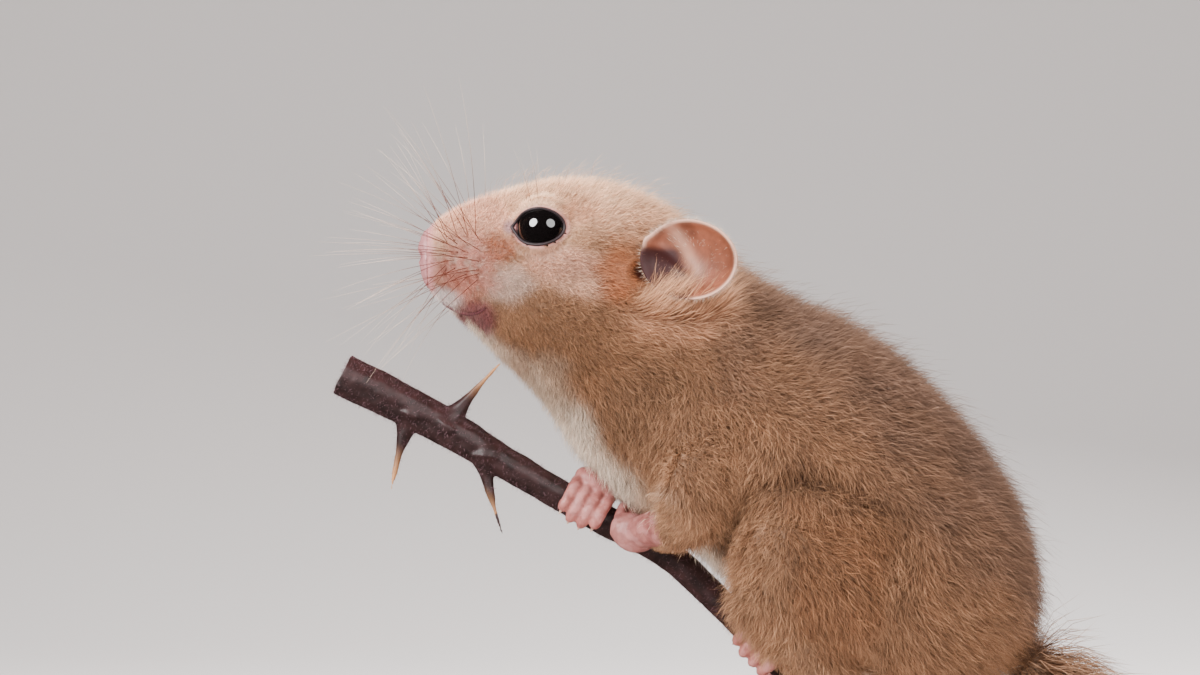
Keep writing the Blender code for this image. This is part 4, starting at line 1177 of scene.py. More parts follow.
def combed(roots, normal, lay, rng):
    """The way each hair points: its fur's lay, turned a little at random, and combed away from the eyes."""
    count = len(roots)
    turn = 0.28 * solid_noise(roots, 6, 3) + 0.16 * solid_noise(roots, 1.4, 4) + rng.normal(0, 0.42, count)
    side = unit(np.cross(normal, lay))
    lay = unit(lay * np.cos(turn)[:, None] + side * np.sin(turn)[:, None])
    for side_sign in (-1, 1):
        e, local, _, axes = eye_distance(roots, side_sign)
        away = unit(np.stack([local[:, 0], np.full(count, 0.01), local[:, 2]], 1)) @ axes
        near_eye = (1 - smooth_step(e, 1.2, 2.1))[:, None]
        lay = unit(lay * (1 - 0.8 * near_eye) + away * near_eye)
        lay = unit(lay + ear_tufts(roots, side_sign)[:, None] * (0.1, 0.0, 1.5))
    return unit(lay - normal * np.einsum("ij,ij->i", lay, normal)[:, None])


# The longer hairs at the tail's root: how much longer, and how far from the root they reach.
RUMP_LENGTH = 1.3
RUMP_REACH = 4.5
# Guard hairs and the tail's hairs: the widths of their roots, and the ranges of their lengths and lifts.
GUARD_WIDTH = 0.032
GUARD_LENGTHS = (2.2, 4.6)
GUARD_LIFTS = (28, 60)
GUARD_TONES = (-1.3, 0.2)
TAIL_HAIR_WIDTH = 0.07
TAIL_HAIR_LENGTHS = (5.0, 8.5)
TAIL_HAIR_LIFTS = (14, 36)


def grow_hair(kind, roots, normal, places, rng):
    """Grows one kind of hair, as pieces that each hold the hairs of a stretch of the body."""
    label, _, length, clump, bent = kind
    settings = bpy.context.scene.dormouse_sizes
    count = len(roots)
    station = places["station"]
    lay = combed(roots, normal, places["lay"], rng)
    lengths = (0.35 + length * places["depth"]) * rng.uniform(0.65, 1.3, count) * settings.hair_length
    lifts = rng.uniform(18, 62, count)
    widths = np.interp(places["depth"], (0.3, 1.2), (0.87, 1.0)) * settings.hair_width / MM
    tone = rng.normal(0, 0.5, count)
    tone = tone + 0.16 * solid_noise(roots, 2.4, 21) + 0.16 * solid_noise(roots, 0.8, 23)
    for side in (-1, 1):
        lengths *= 0.4 + 0.6 * smooth_step(eye_distance(roots, side)[0], 1.1, 2.4)
        near_ear = ear_tufts(roots, side)
        lengths *= 1 + 1.3 * near_ear
        lifts = lifts + 12 * near_ear
        lengths *= 0.45 + 0.55 * smooth_step(ear_distance(roots, "front", side), 0.8, 1.4)
    if label != "tail":
        rump = np.exp(-(np.linalg.norm(roots - TAIL_ROOT, axis=1) / RUMP_REACH) ** 2)
        lengths *= 1 + RUMP_LENGTH * rump
    if label == "guard":
        nape = smooth_step(station, 4, 6) * (1 - smooth_step(station, 10, 13))
        standing = rng.uniform(*GUARD_LENGTHS, count) * smooth_step(station, 2, 6)
        lengths = lengths * 0.4 + standing * (1 - 0.25 * nape)
        lifts = rng.uniform(*GUARD_LIFTS, count)
        widths = np.full(count, GUARD_WIDTH)
        tone = rng.choice(GUARD_TONES, count)
    if label == "tail":
        lengths = rng.uniform(*TAIL_HAIR_LENGTHS, count)
        lifts = rng.uniform(*TAIL_HAIR_LIFTS, count)
        widths = np.full(count, TAIL_HAIR_WIDTH)
    lengths *= 0.35 + 0.65 * smooth_step(station, 1.1, 2.6)
    wrist = smooth_step(places["leg"], 1.3, 2.4) * smooth_step(places["on_leg"], 0.2, 0.5)
    hairs = {
        "roots": roots,
        "normals": normal,
        "lays": lay,
        "lengths": lengths * (1 - 0.6 * wrist),
        "lifts": np.radians(lifts),
        "widths": widths * 1.0,
        # Hairs in the fold round each thigh are darker, as painted shade.
        "tone": tone - 0.8 * thigh_crease(roots),
        "marking": marking_colours(roots, places),
        "unwrap": unwrapped(places, roots),
    }
    order = np.argsort(roots[:, 0], kind="stable")
    pieces = max(1, math.ceil(count / (BENT_IN_PIECE if bent else STRAIGHT_IN_PIECE)))
    for i, part in enumerate(np.array_split(order, pieces)):
        some = {key: values[part] for key, values in hairs.items()}
        strand_mesh(f"coat_{label}_{i + 1}", some, clump, rng, bent)


# The face

BALL_CLEARANCE = 0.02
LID_POINTS = 72
LID_SIDES = 12
LID_CORNER = 0.35  # how far the front corner of the lids is drawn out


def lid_line(middle, axes):
    """Points round the eye's opening, and for each how near it is to the front corner, from 0 to 1."""
    turn = turns(LID_POINTS)
    corner = np.exp(-((turn - math.pi) / 0.35) ** 2)
    x = (EYE_OPENING[0] + LID_CORNER * corner) * np.cos(turn)
    z = EYE_OPENING[1] * np.sin(turn) * (1 - 0.5 * corner) - 0.15 * corner
    radius = EYE_RADIUS + 0.06 + LID_CORNER * corner
    y = np.sqrt(np.maximum(radius ** 2 - x ** 2 - z ** 2, 1.0 + 0.7 * corner))
    return np.stack([x, y, z], 1) @ axes + middle, corner


def make_eyes():
    """Builds the eyeballs, and a dark rim of lid round each."""
    eye_colour = bpy.context.scene.dormouse_colours.eye
    surface = plain_material("eye_surface", eye_colour, 0.02, Coat_Weight=1.0, Coat_Roughness=0.01)
    rim_material = mottled_material("eyelid", (44, 26, 30), (26, 14, 16), 1500.0, 0.55)
    around = turns(LID_SIDES)
    for label, side in SIDES:
        middle, axes = eye_frame(side)
        ball = ellipsoid("eyeball_" + label, middle, EYE_RADIUS - BALL_CLEARANCE, axes[[1, 0, 2]], 48, 64)
        present(ball, surface, "eye", "eye_" + label)
        line, corner = lid_line(middle, axes)
        rings = []
        for i in range(LID_POINTS):
            along = unit(line[(i + 1) % LID_POINTS] - line[i - 1])
            out = unit(line[i] - middle)
            across = np.cross(along, out)
            thick = 0.14 + 0.04 * corner[i]
            ring = np.outer(np.cos(around), across) + np.outer(np.sin(around), out)
            rings.append(line[i] + ring * thick)
        faces = grid_faces(LID_POINTS + 1, LID_SIDES) % (LID_POINTS * LID_SIDES)
        rim = mesh_object("lid_rim_" + label, np.vstack(rings), faces)
        turn_outward(rim)
        present(rim, rim_material, "bare_skin")


def turn_outward(obj):
    """Turns all of a closed mesh's faces outward."""
    bm = bmesh.new()
    bm.from_mesh(obj.data)
    bmesh.ops.recalc_face_normals(bm, faces=bm.faces)
    bm.to_mesh(obj.data)
    bm.free()


EAR_ROWS = 18
EAR_SIDES = 64
# A raised fold across the ear's bowl, from its front to its middle: back and up from the ear's middle.
EAR_FOLD = np.array([(-5.1, 2.1), (-0.9, -0.9)])
EAR_FOLD_HEIGHT = 0.75
EAR_RIPPLE = 0.12
EAR_THICKNESS = 0.16
EAR_RIM = 1.035
EAR_RIM_FRONT = 0.05
EAR_RIM_WIDTH = 0.3
EAR_SLANT = 0.55


def ear_frame(side):
    """The ear's middle, the ways back and up across its opening, and the way that it faces."""
    flip = np.array([1, side, 1])
    back = unit(EAR_BACK * flip)
    up = unit(np.array([0, 0, 1.0]) - back * back[2])
    return EAR_MIDDLE * flip, back, up, np.cross(back, up) * -side


def ear_bowl(share):
    """The depth of the ear's bowl, by the share of the way from its middle to its rim, which stands up."""
    return EAR_DEPTH * (1 - share ** 2) - 0.35 * smooth_step(share, 0.8, 1.0)


def make_ears():
    """Builds each ear as a thin shell: a bowl with a fold in it, a rolled rim and a back."""
    material = mottled_material(
        "ear_surface", (134, 76, 54), (100, 54, 36), 500.0, 0.5, 0.3, tint=(206, 160, 138),
        Specular_IOR_Level=0.35,
    )
    share, angle = np.meshgrid(np.linspace(0.04, 1.0, EAR_ROWS), turns(EAR_SIDES), indexing="ij")
    u = EAR_HALF[0] * share * np.cos(angle)
    w = EAR_HALF[1] * share * np.sin(angle)
    start = EAR_FOLD[0]
    run = EAR_FOLD[1] - start
    along = np.clip(((u - start[0]) * run[0] + (w - start[1]) * run[1]) / run.dot(run), 0, 1)
    away = np.hypot(u - start[0] - run[0] * along, w - start[1] - run[1] * along)
    deep = ear_bowl(share) - EAR_FOLD_HEIGHT * np.exp(-(away / 0.5) ** 2) * (1 - 0.6 * along)
    deep = deep + EAR_RIPPLE * np.sin(3 * angle + 1) * share ** 3
    thick = EAR_THICKNESS + 0.25 * smooth_step(share, 0.8, 1.0) * smooth_step(1 - share, -0.1, 0.1)
    for label, side in SIDES:
        middle, back, up, face = ear_frame(side)
        inner = middle + u[..., None] * back + w[..., None] * up - deep[..., None] * face
        outer = inner - face * thick[..., None]
        rim = middle + (u[-1] * EAR_RIM)[:, None] * back + (w[-1] * EAR_RIM)[:, None] * up
        rim = rim - deep[-1][:, None] * face + face * EAR_RIM_FRONT
        ear = closed_loft("ear_shell_" + label, [*inner, rim, rim - face * EAR_RIM_WIDTH, *outer[::-1]])
        local = read_points(ear) / MM - middle
        height = local @ up
        slant = local @ back + EAR_SLANT * height
        edge = smooth_step(np.hypot(local @ back / EAR_HALF[0], height / EAR_HALF[1]), 0.93, 1.0)
        fold = np.exp(-((slant + 0.6) / 0.8) ** 2) * smooth_step(height, -2.6, -0.5)
        add_floats(ear.data, "tint", np.maximum(0.85 * edge, 0.4 * fold))
        add_floats(ear.data, "shade", smooth_step(-slant, 0.9, 2.0) * smooth_step(-height, -1.4, -0.5))
        present(ear, material, "ear_skin", "ear_" + label)
    make_ear_down()


EAR_HAIRS = 1800
EAR_DOWN_WIDTH = 0.032
EAR_DOWN_COLOUR = linear(250, 226, 204)


def make_ear_down():
    """Fine pale hairs along the ears' rims and inside them."""
    rng = np.random.default_rng(31)
    count = EAR_HAIRS
    for label, side in SIDES:
        middle, back, up, face = ear_frame(side)
        angle = rng.uniform(0, 2 * math.pi, count)
        on_rim = rng.uniform(0, 1, count) < 0.6
        share = np.where(on_rim, rng.uniform(0.93, 1.02, count), rng.uniform(0.3, 0.95, count))
        u = EAR_HALF[0] * share * np.cos(angle)
        w = EAR_HALF[1] * share * np.sin(angle)
        front = rng.uniform(0, 1, count) < 0.5
        roots = middle + u[:, None] * back + w[:, None] * up
        lengths = np.where(share > 0.9, rng.uniform(0.3, 0.75, count), rng.uniform(0.3, 0.7, count))
        hairs = {
            "roots": roots - (ear_bowl(share) + np.where(front, -0.05, 0.25))[:, None] * face,
            "normals": np.where(front[:, None], face, -face),
            "lays": unit(np.cos(angle)[:, None] * back + np.sin(angle)[:, None] * up),
            "lengths": lengths,
            "tone": rng.normal(0, 0.3, count),
            "marking": np.tile(EAR_DOWN_COLOUR, (count, 1)) * rng.uniform(0.7, 1.0, (count, 1)),
            "lifts": np.radians(rng.uniform(10, 40, count)),
            "widths": np.full(count, EAR_DOWN_WIDTH),
            "unwrap": np.stack([0.1 + 0.8 * (u / 11 + 0.5), 0.1 + 0.8 * (w / 9 + 0.5)], 1),
        }
        strand_mesh("ear_down_" + label, hairs, 0, rng, False)


NOSE_END = 1.5
NOSE_RINGS = 44
NOSE_CENTRE = np.array([-38.6, 0, 87.8])
# Each nostril is three round pits that run into each other: x, y, z and radius, as on the right side.
NOSTRIL = ((-40.9, 1.35, 87.9, 0.55), (-40.3, 1.9, 88.2, 0.42), (-39.8, 2.3, 88.5, 0.3))
NOSTRIL_DEPTH = 0.55
NOSE_GROOVE_DEPTH = 0.22
NOSE_GRAIN = 0.03
NOSE_TAPER = 0.1
NOSE_MIDDLE_Z = 87.7
LIP_POINTS = 81
LIP_CENTRE = np.array([-34.5, 0, 84.5])
LIP_SIZE = 0.93
LIP_SHIFT = np.array([0.1, 0, -0.1])


def make_nose():
    """The bare nose, a soft pad with two comma-shaped nostrils and a groove between them, and the lip."""
    nose = closed_loft("nose_pad", trunk_rings(0.0, NOSE_END, NOSE_RINGS))
    points = read_points(nose).astype(float) / MM
    out = unit(points - NOSE_CENTRE)
    pit = np.zeros(len(points))
    for side in (-1, 1):
        for x, y, z, size in NOSTRIL:
            away = np.linalg.norm((points - (x, y * side, z)) * (1, 1, 1.35), axis=1)
            pit = np.maximum(pit, np.exp(-(away / size) ** 2))
    groove = np.exp(-(points[:, 1] / 0.22) ** 2) * (points[:, 2] < 88.6) * (points[:, 0] < -39.9)
    grain = NOSE_GRAIN * solid_noise(points, 0.5, 4)
    sunk = NOSTRIL_DEPTH * pit + NOSE_GROOVE_DEPTH * groove
    points = points - out * sunk[:, None] + out * grain[:, None]
    # The pad's rear end is drawn in.
    tuck = NOSE_TAPER * smooth_step(points[:, 0], -40.8, -39.9)
    points[:, 1] *= 1 - tuck
    points[:, 2] -= (points[:, 2] - NOSE_MIDDLE_Z) * tuck
    write_points(nose, points)
    # The pad is tinted paler except in the nostril pits, which stay darker as painted shade.
    add_floats(nose.data, "tint", np.clip(0.55 - pit * 1.2, 0, 1))
    nose_material = mottled_material(
        "nose_skin", (158, 102, 104), (126, 76, 80), 1800.0, 0.5, 0.5, tint=(178, 122, 122), Coat_Weight=0.1,
    )
    present(nose, nose_material, "bare_skin", "nose")
    line = LIP_CENTRE + (mouth_line(LIP_POINTS) - LIP_CENTRE) * LIP_SIZE + LIP_SHIFT
    lip = tube("lower_lip", line, 0.10 + 0.14 * (1 - np.linspace(-1, 1, LIP_POINTS) ** 2), 14)
    present(lip, mottled_material("lip_skin", (96, 46, 50), (70, 32, 38), 1500.0, 0.5), "bare_skin")


WHISKER_ROWS = 8
WHISKERS_IN_ROW = 4
# Along a row, from its front whisker to its rear one: trunk station, outward slant, and length.
WHISKER_STATIONS = (2.6, 3.9)
WHISKER_OUTWARD = (0.3, 0.85)
WHISKER_LENGTHS = (13.0, 21.0)
# From the top row to the lowest, in degrees: place round the muzzle, and heading.
WHISKER_ANGLES = (34.0, -8.0)
WHISKER_FAN = (104.0, 228.0)
WHISKER_SPREAD = 16.0
WHISKER_CURL = 10.0
WHISKER_RINGS = 15
WHISKER_SIDES = 5
WHISKER_ROOT_DEPTH = 0.4
BROW_WHISKERS = 2
BROW_WIDTH = 0.05
WHISKER_PALE = linear(214, 190, 172)
WHISKER_DARK = linear(92, 40, 26)


def make_whiskers():
    """Curved tapering whiskers in rows on each side of the muzzle, and a few short ones above the eyes."""
    rng = np.random.default_rng(7)
    width = bpy.context.scene.dormouse_sizes.whisker_width / MM
    points = []
    faces = []
    along_all = []
    for side in (-1, 1):
        for row in range(WHISKER_ROWS):
            for k in range(WHISKERS_IN_ROW):
                down = row / (WHISKER_ROWS - 1)
                back = k / (WHISKERS_IN_ROW - 1)
                t = np.interp(back, (0, 1), WHISKER_STATIONS) + rng.normal(0, 0.06)
                angle = np.interp(down, (0, 1), WHISKER_ANGLES) + rng.normal(0, 1.5)
                root = trunk_points([t], [math.radians(angle)])[0] * (1, -side, 1)
                heading = np.interp(down, (0, 1), WHISKER_FAN) + WHISKER_SPREAD * (0.5 - back)
                heading = heading + rng.normal(0, 4)
                outward = np.interp(back, (0, 1), WHISKER_OUTWARD) * rng.uniform(0.8, 1.15) * side
                length = np.interp(back, (0, 1), WHISKER_LENGTHS) * rng.uniform(0.8, 1.02)
                add_whisker(points, faces, along_all, root, heading, outward, length, width, rng)
        for k in range(BROW_WHISKERS):
            root = EYE_PLACE * (1, side, 1) + np.array([-1.2 + k * 0.7, side * 1.0, 2.6])
            add_whisker(points, faces, along_all, root, 100 - 8 * k, 0.5 * side, 7.0 + k, BROW_WIDTH, rng)
    whiskers = mesh_object("whiskers", np.vstack(points), np.vstack(faces))
    turn_outward(whiskers)
    along = np.concatenate(along_all)
    add_floats(whiskers.data, "along", np.ones(len(along)))
    add_floats(whiskers.data, "tone", np.zeros(len(along)))
    colours = blend(WHISKER_DARK, WHISKER_PALE, smooth_step(along, 0.25, 0.85))
    add_colours(whiskers.data, "marking", colours)
    present(whiskers, coat_material(), "coat")


def add_whisker(points, faces, along_all, root, heading, outward, length, width, rng):
    """Adds the points and faces of one whisker: a bent, tapered tube, sunk a little at its root."""
    rows, sides = WHISKER_RINGS, WHISKER_SIDES
    share = np.linspace(0, 1, rows)
    turned = np.radians(heading + (WHISKER_CURL + rng.normal(0, 5)) * share)
    runs = unit(np.stack([np.cos(turned), np.full(rows, outward), np.sin(turned)], 1))
    line = root + np.cumsum(runs, axis=0) * length / rows - runs[0] * (length / rows + WHISKER_ROOT_DEPTH)
    side = unit(np.cross(runs, np.stack([np.sin(turned), np.zeros(rows), -np.cos(turned)], 1)))
    up = np.cross(side, runs)
    radius = (width * (1 - 0.85 * share) * 0.5)[:, None, None]
    k = turns(sides)[None, :, None]
    ring = line[:, None, :] + radius * (np.cos(k) * side[:, None, :] + np.sin(k) * up[:, None, :])
    start = sum(len(p) for p in points)
    points.append(np.vstack([ring.reshape(-1, 3), line[:1] - runs[:1] * 0.05, line[-1:] + runs[-1:] * 0.1]))
    quads = grid_faces(rows, sides)
    triangles = np.vstack([quads[:, [0, 1, 2]], quads[:, [0, 2, 3]]])
    last = (rows - 1) * sides
    ends = [(rows * sides, (a + 1) % sides, a) for a in range(sides)]
    ends += [(rows * sides + 1, last + a, last + (a + 1) % sides) for a in range(sides)]
    faces.append(np.vstack([triangles, ends]) + start)
    along_all.append(np.concatenate([np.repeat(share, sides), [0, 1]]))


# Feet

FOOT_CELL = 0.14
DIGIT_GAP = 0.4  # the share of the gap to the stem that is kept under fingers and toes
NEAR_HAND_SHADE = 0.3
FOOT_SHADE = 0.08
# Hands: the palm's height over the stem and its radii, the wrist's places and radii, and where the fingers
# start and end round the stem, in degrees from the palm. The outer fingers reach less far than the inner.
PALM_HEIGHT = 1.28
PALM_RADII = (2.4, 1.9, 1.5)
WRIST_SHARES = (0.35, 0.6, 0.85, 1.0)
WRIST_RADII = (1.9, 1.8, 1.6, 1.4)
FINGER_START = 22
OUTER_FINGER_END = 112
INNER_FINGER_END = 130
# Hind feet: the sole's length, its height over the gap to the stem, and where it starts and ends round the
# stem. All degrees are from the stem's upper side. The first toe points the other way and is short.
SOLE_LENGTH = 10.4
SOLE_HEIGHT = 1.4
SOLE_DEGREES = (52, 38)
SOLE_STEPS = 14
SOLE_RADII = (1.45, 1.4)
HEEL_SHARES = (-0.4, 0.2, 0.6, 1.0)
HEEL_RADII = (1.5, 1.5, 1.45, 1.4)
TOE_SWEEP = (72, 144)
LAST_TOE_SWEEP = (72, 130)
FIRST_TOE_SWEEP = (36, 22)
FIRST_TOE_AHEAD = 0.9


def digit_shapes(name, share, start, ahead, sweep, radius):
    """A finger or toe bent round the stem, with knuckles and a soft tip, and its claw."""
    centre, stem_radius, run, _ = stem_frame(share)
    distance = stem_radius + GAP * DIGIT_GAP + radius
    line = [start]
    for degrees in np.linspace(sweep[0], sweep[1], 15):
        line.append(round_stem(share, degrees, distance, ahead))
    line = np.array(line)
    steps = np.linspace(0, 1, len(line))
    swell = 0.12 * np.exp(-((steps - 0.35) / 0.09) ** 2) + 0.10 * np.exp(-((steps - 0.68) / 0.09) ** 2)
    swell = swell + 0.12 * np.exp(-((steps - 0.95) / 0.08) ** 2)
    digit = tube(name, line, radius * (1.02 - 0.22 * steps + swell), 20)
    tip = line[-1]
    forward = unit(tip - line[-2])
    away = unit(tip - centre - run * ahead)
    s = np.linspace(0, 1, 7)[:, None]
    claw_line = tip + away * radius * 0.2 + forward * (0.3 + 0.6 * s) - away * 0.2 * s ** 2
    return digit, tube(name + "_claw", claw_line, np.linspace(0.2, 0.05, 7), 12)


def finish_foot(label, shapes, claws, pale_at):
    """Fuses a foot's shapes into one wrinkled skin, pale round one point, and joins its claws."""
    foot = fuse(join(shapes, label), FOOT_CELL)
    points, quads = read_mesh(foot)
    points = smoothed(points, quads, 12)
    crease = np.abs(solid_noise(points, 1.3, 17))
    height = 0.03 * solid_noise(points, 0.9, 6) - 0.035 * np.exp(-(crease / 0.12) ** 2)
    points += quad_normals(points, quads) * height[:, None]
    write_points(foot, points)
    foot.data.shade_smooth()
    pale = np.exp(-(np.linalg.norm(points - pale_at, axis=1) / 2.2) ** 2)
    add_floats(foot.data, "tint", 0.35 * pale + 0.25 * (solid_noise(points, 1.6, 9) > 0.2))
    shade = NEAR_HAND_SHADE if label == "forefoot_left" else FOOT_SHADE
    add_floats(foot.data, "shade", np.full(len(points), shade))
    present(foot, bare_material(), "bare_skin", label)
    claw_material = mottled_material("claw_horn", (214, 180, 160), (150, 108, 92), 1500.0, 0.3)
    present(join(claws, label + "_claws"), claw_material, "bare_skin")


def limb_end(name, start, end, shares, radii):
    """A short tube from a leg's line to its foot: a wrist or a heel."""
    return tube(name, [start + (end - start) * s for s in shares], radii, 24)


def make_hand(label, side):
    share, turned = HAND_PLACES[side]
    centre, stem_radius, run, _ = stem_frame(share)
    middle = round_stem(share, turned, stem_radius + PALM_HEIGHT)
    out = unit(middle - centre)
    shapes = [ellipsoid(label + "_palm", middle, PALM_RADII, np.stack([run, np.cross(out, run), out]))]
    wrist = np.array(GUIDES[label.replace("forefoot", "foreleg")][-2][:3])
    shapes.append(limb_end(label + "_wrist", wrist, middle, WRIST_SHARES, WRIST_RADII))
    claws = []
    for i in range(FINGERS):
        ahead = FINGER_STEP * (i - (FINGERS - 1) / 2)
        end = OUTER_FINGER_END if i in (0, FINGERS - 1) else INNER_FINGER_END
        sweep = (turned + FINGER_START * side, turned + end * side)
        start = middle + run * ahead * 0.7
        finger, claw = digit_shapes(f"{label}_{i}", share, start, ahead, sweep, FINGER_RADIUS)
        shapes.append(finger)
        claws.append(claw)
    finish_foot(label, shapes, claws, middle)


def make_hindfoot(label, side):
    share = FOOT_PLACES[side]
    _, stem_radius, run, _ = stem_frame(share)
    line = []
    for s in np.linspace(0, 1, SOLE_STEPS):
        degrees = (SOLE_DEGREES[0] + (SOLE_DEGREES[1] - SOLE_DEGREES[0]) * s) * -side
        place = share + SOLE_LENGTH * (1 - s) / STEM_LENGTH
        line.append(round_stem(place, degrees, stem_radius + GAP + SOLE_HEIGHT))
    shapes = [tube(label + "_sole", line, np.linspace(*SOLE_RADII, SOLE_STEPS), 24, 0.85)]
    shin = np.array(GUIDES[label.replace("hindfoot", "hindleg")][-1][:3])
    shapes.append(limb_end(label + "_heel", shin, line[0], HEEL_SHARES, HEEL_RADII))
    claws = []
    for i in range(TOES):
        ahead = FIRST_TOE_AHEAD - TOE_STEP * i
        sweep = {0: FIRST_TOE_SWEEP, TOES - 1: LAST_TOE_SWEEP}.get(i, TOE_SWEEP)
        start = line[-1] + run * ahead * 0.55
        sweep = [degrees * -side for degrees in sweep]
        toe, claw = digit_shapes(f"{label}_{i}", share, start, ahead, sweep, TOE_RADIUS)
        shapes.append(toe)
        claws.append(claw)
    finish_foot(label, shapes, claws, line[-1])


def make_feet():
    for label, side in SIDES:
        make_hand("forefoot_" + label, side)
        make_hindfoot("hindfoot_" + label, side)


# The perch

STEM_RINGS = 260
STEM_SIDES = 72
STEM_CELL = 0.16
PRICKLE_STEPS = 16
PRICKLE_ROOT = 0.35  # where a prickle starts, as a share of the stem's radius


def make_perch():
    """Builds the stem with its ridges and its curved prickles as one skin, and its down."""
    k = turns(STEM_SIDES)
    rings = []
    for share in np.linspace(0, 1, STEM_RINGS):
        centre, radius, _, upper = stem_frame(share)
        ridge = 1 + 0.03 * np.cos(5 * k + 3 * share) + 0.015 * np.sin(11 * k)
        ring = centre + np.outer(np.cos(k) * ridge, upper) * radius
        ring[:, 1] += np.sin(k) * ridge * radius
        rings.append(ring)
    shapes = [closed_loft("stem", rings)]
    prickles = []
    s = np.linspace(0, 1, PRICKLE_STEPS)[:, None]
    for share, degrees, lean, length, foot in PRICKLES:
        centre, radius, run, upper = stem_frame(share)
        angle = math.radians(degrees)
        out = upper * math.cos(angle)
        out[1] -= math.sin(angle)
        line = centre + out * (radius * PRICKLE_ROOT + length * s) - run * lean * length * s ** 1.3
        radii = foot * (1.15 * np.exp(-s[:, 0] * 7) + 0.42 * (1 - s[:, 0]) + 0.05)
        shapes.append(tube("prickle", line, radii, 28))
        prickles.append((centre + out * radius, out, length))
    stem = fuse(join(shapes, "perch"), STEM_CELL)
    points, quads = read_mesh(stem)
    points = smoothed(points, quads, 3)
    height = 0.05 * solid_noise(points, 2.4, 2) + 0.02 * solid_noise(points, 0.7, 3)
    points += quad_normals(points, quads) * height[:, None]
    write_points(stem, points)
    stem.data.shade_smooth()
    # The prickles are tinted from the stem to their tips.
    tint = np.zeros(len(points))
    for foot_place, out, length in prickles:
        from_foot = points - foot_place
        height = from_foot @ out
        aside = np.linalg.norm(from_foot - np.outer(height, out), axis=1)
        tint = np.maximum(tint, smooth_step(height / length, 0.18, 0.8) * (aside < 0.8 + length * 0.5))
    add_floats(stem.data, "tint", tint)
    bark = mottled_material(
        "bramble_bark", (52, 29, 29), (32, 16, 15), 700.0, 0.5, 0.4, tint=(190, 134, 86),
        Specular_IOR_Level=0.4,
    )
    present(stem, bark, "bramble", "perch_stem")
    make_down(stem)


DOWN_SOCKETS = (
    ("Surface", "NodeSocketGeometry"),
    ("Density", "NodeSocketFloat"),
    ("Length", "NodeSocketFloat"),
    ("Width", "NodeSocketFloat"),
    ("Seed", "NodeSocketInt"),
    ("Material", "NodeSocketMaterial"),
)
# The down's hairs to the square metre, and their greatest length and width.
DOWN_DENSITY = 8e6
DOWN_LENGTH = 0.55
DOWN_WIDTH = 0.018
DOWN_SEED = 5
FULL_TURN = 6.28


def down_tree():
    """Scatters short hairs over a surface: points on its faces, a thin cone on each, made real."""
    tree = bpy.data.node_groups.new("down", "GeometryNodeTree")
    for label, kind in DOWN_SOCKETS:
        tree.interface.new_socket(label, in_out="INPUT", socket_type=kind)
    tree.interface.new_socket("Down", in_out="OUTPUT", socket_type="NodeSocketGeometry")
    given = tree.nodes.new("NodeGroupInput")
    out = tree.nodes.new("NodeGroupOutput")
    sizes = {"Min": (0.6, 0.6, 0.4), "Max": (1.0, 1.0, 1.0)}
    leans = {"Min": (-0.6, -0.6, 0.0), "Max": (0.6, 0.6, FULL_TURN)}
    spread = node(tree, "GeometryNodeDistributePointsOnFaces")
    hair = node(tree, "GeometryNodeMeshCone", {"Vertices": 3, "Radius Top": 0.0})
    size = node(tree, "FunctionNodeRandomValue", sizes, data_type="FLOAT_VECTOR")
    lean = node(tree, "FunctionNodeRandomValue", leans, data_type="FLOAT_VECTOR")
    placed = node(tree, "GeometryNodeInstanceOnPoints")
    turned = node(tree, "GeometryNodeRotateInstances")
    real = node(tree, "GeometryNodeRealizeInstances")
    painted = node(tree, "GeometryNodeSetMaterial")
    for start, output, end, socket in (
        (given, "Surface", spread, "Mesh"),
        (given, "Density", spread, "Density"),
        (given, "Seed", spread, "Seed"),
        (given, "Width", hair, "Radius Bottom"),
        (given, "Length", hair, "Depth"),
        (given, "Seed", size, "Seed"),
        (given, "Seed", lean, "Seed"),
        (spread, "Points", placed, "Points"),
        (spread, "Rotation", placed, "Rotation"),
        (hair, "Mesh", placed, "Instance"),
        (size, "Value", placed, "Scale"),
        (placed, "Instances", turned, "Instances"),
        (lean, "Value", turned, "Rotation"),
        (turned, "Instances", real, "Geometry"),
        (real, "Geometry", painted, "Geometry"),
        (given, "Material", painted, "Material"),
        (painted, "Geometry", out, "Down"),
    ):
        tree.links.new(start.outputs[output], end.inputs[socket])
    return tree


def make_down(stem):
    """Grows the short down on the stem, as a piece of its own."""
    material = mottled_material("bramble_down", (132, 98, 106), (96, 66, 74), 900.0, 0.8, 0.0)
    holder = add_object("down_holder", stem.data.copy())
    growth = holder.modifiers.new("down", "NODES")
    growth.node_group = down_tree()
    values = {
        "Density": DOWN_DENSITY,
        "Length": DOWN_LENGTH * MM,
        "Width": DOWN_WIDTH * MM,
        "Seed": DOWN_SEED,
        "Material": material,
    }
    for item in growth.node_group.interface.items_tree:
        if item.in_out == "INPUT" and item.name in values:
            growth[item.identifier] = values[item.name]
    mesh = evaluated_mesh(holder)
    bpy.data.objects.remove(holder)
    mesh.name = "perch_down"
    present(add_object("perch_down", mesh), material, "bramble")


# The stand

BASE_HALF = (52.0, 26.0)
# The base's edge from the floor up: height, and how far it is inset there.
BASE_PROFILE = (
    (0.0, 0.3), (0.3, 0.0), (3.0, 0.0), (3.35, 0.06), (3.65, 0.22), (3.87, 0.5), (3.97, 0.8), (4.0, 1.3),
)
BASE_SIDES = 144
ROD_X = 3.0
ROD_SIDES = 48
ROD_SINK = 1.0  # the rod's top is this far under the stem's middle
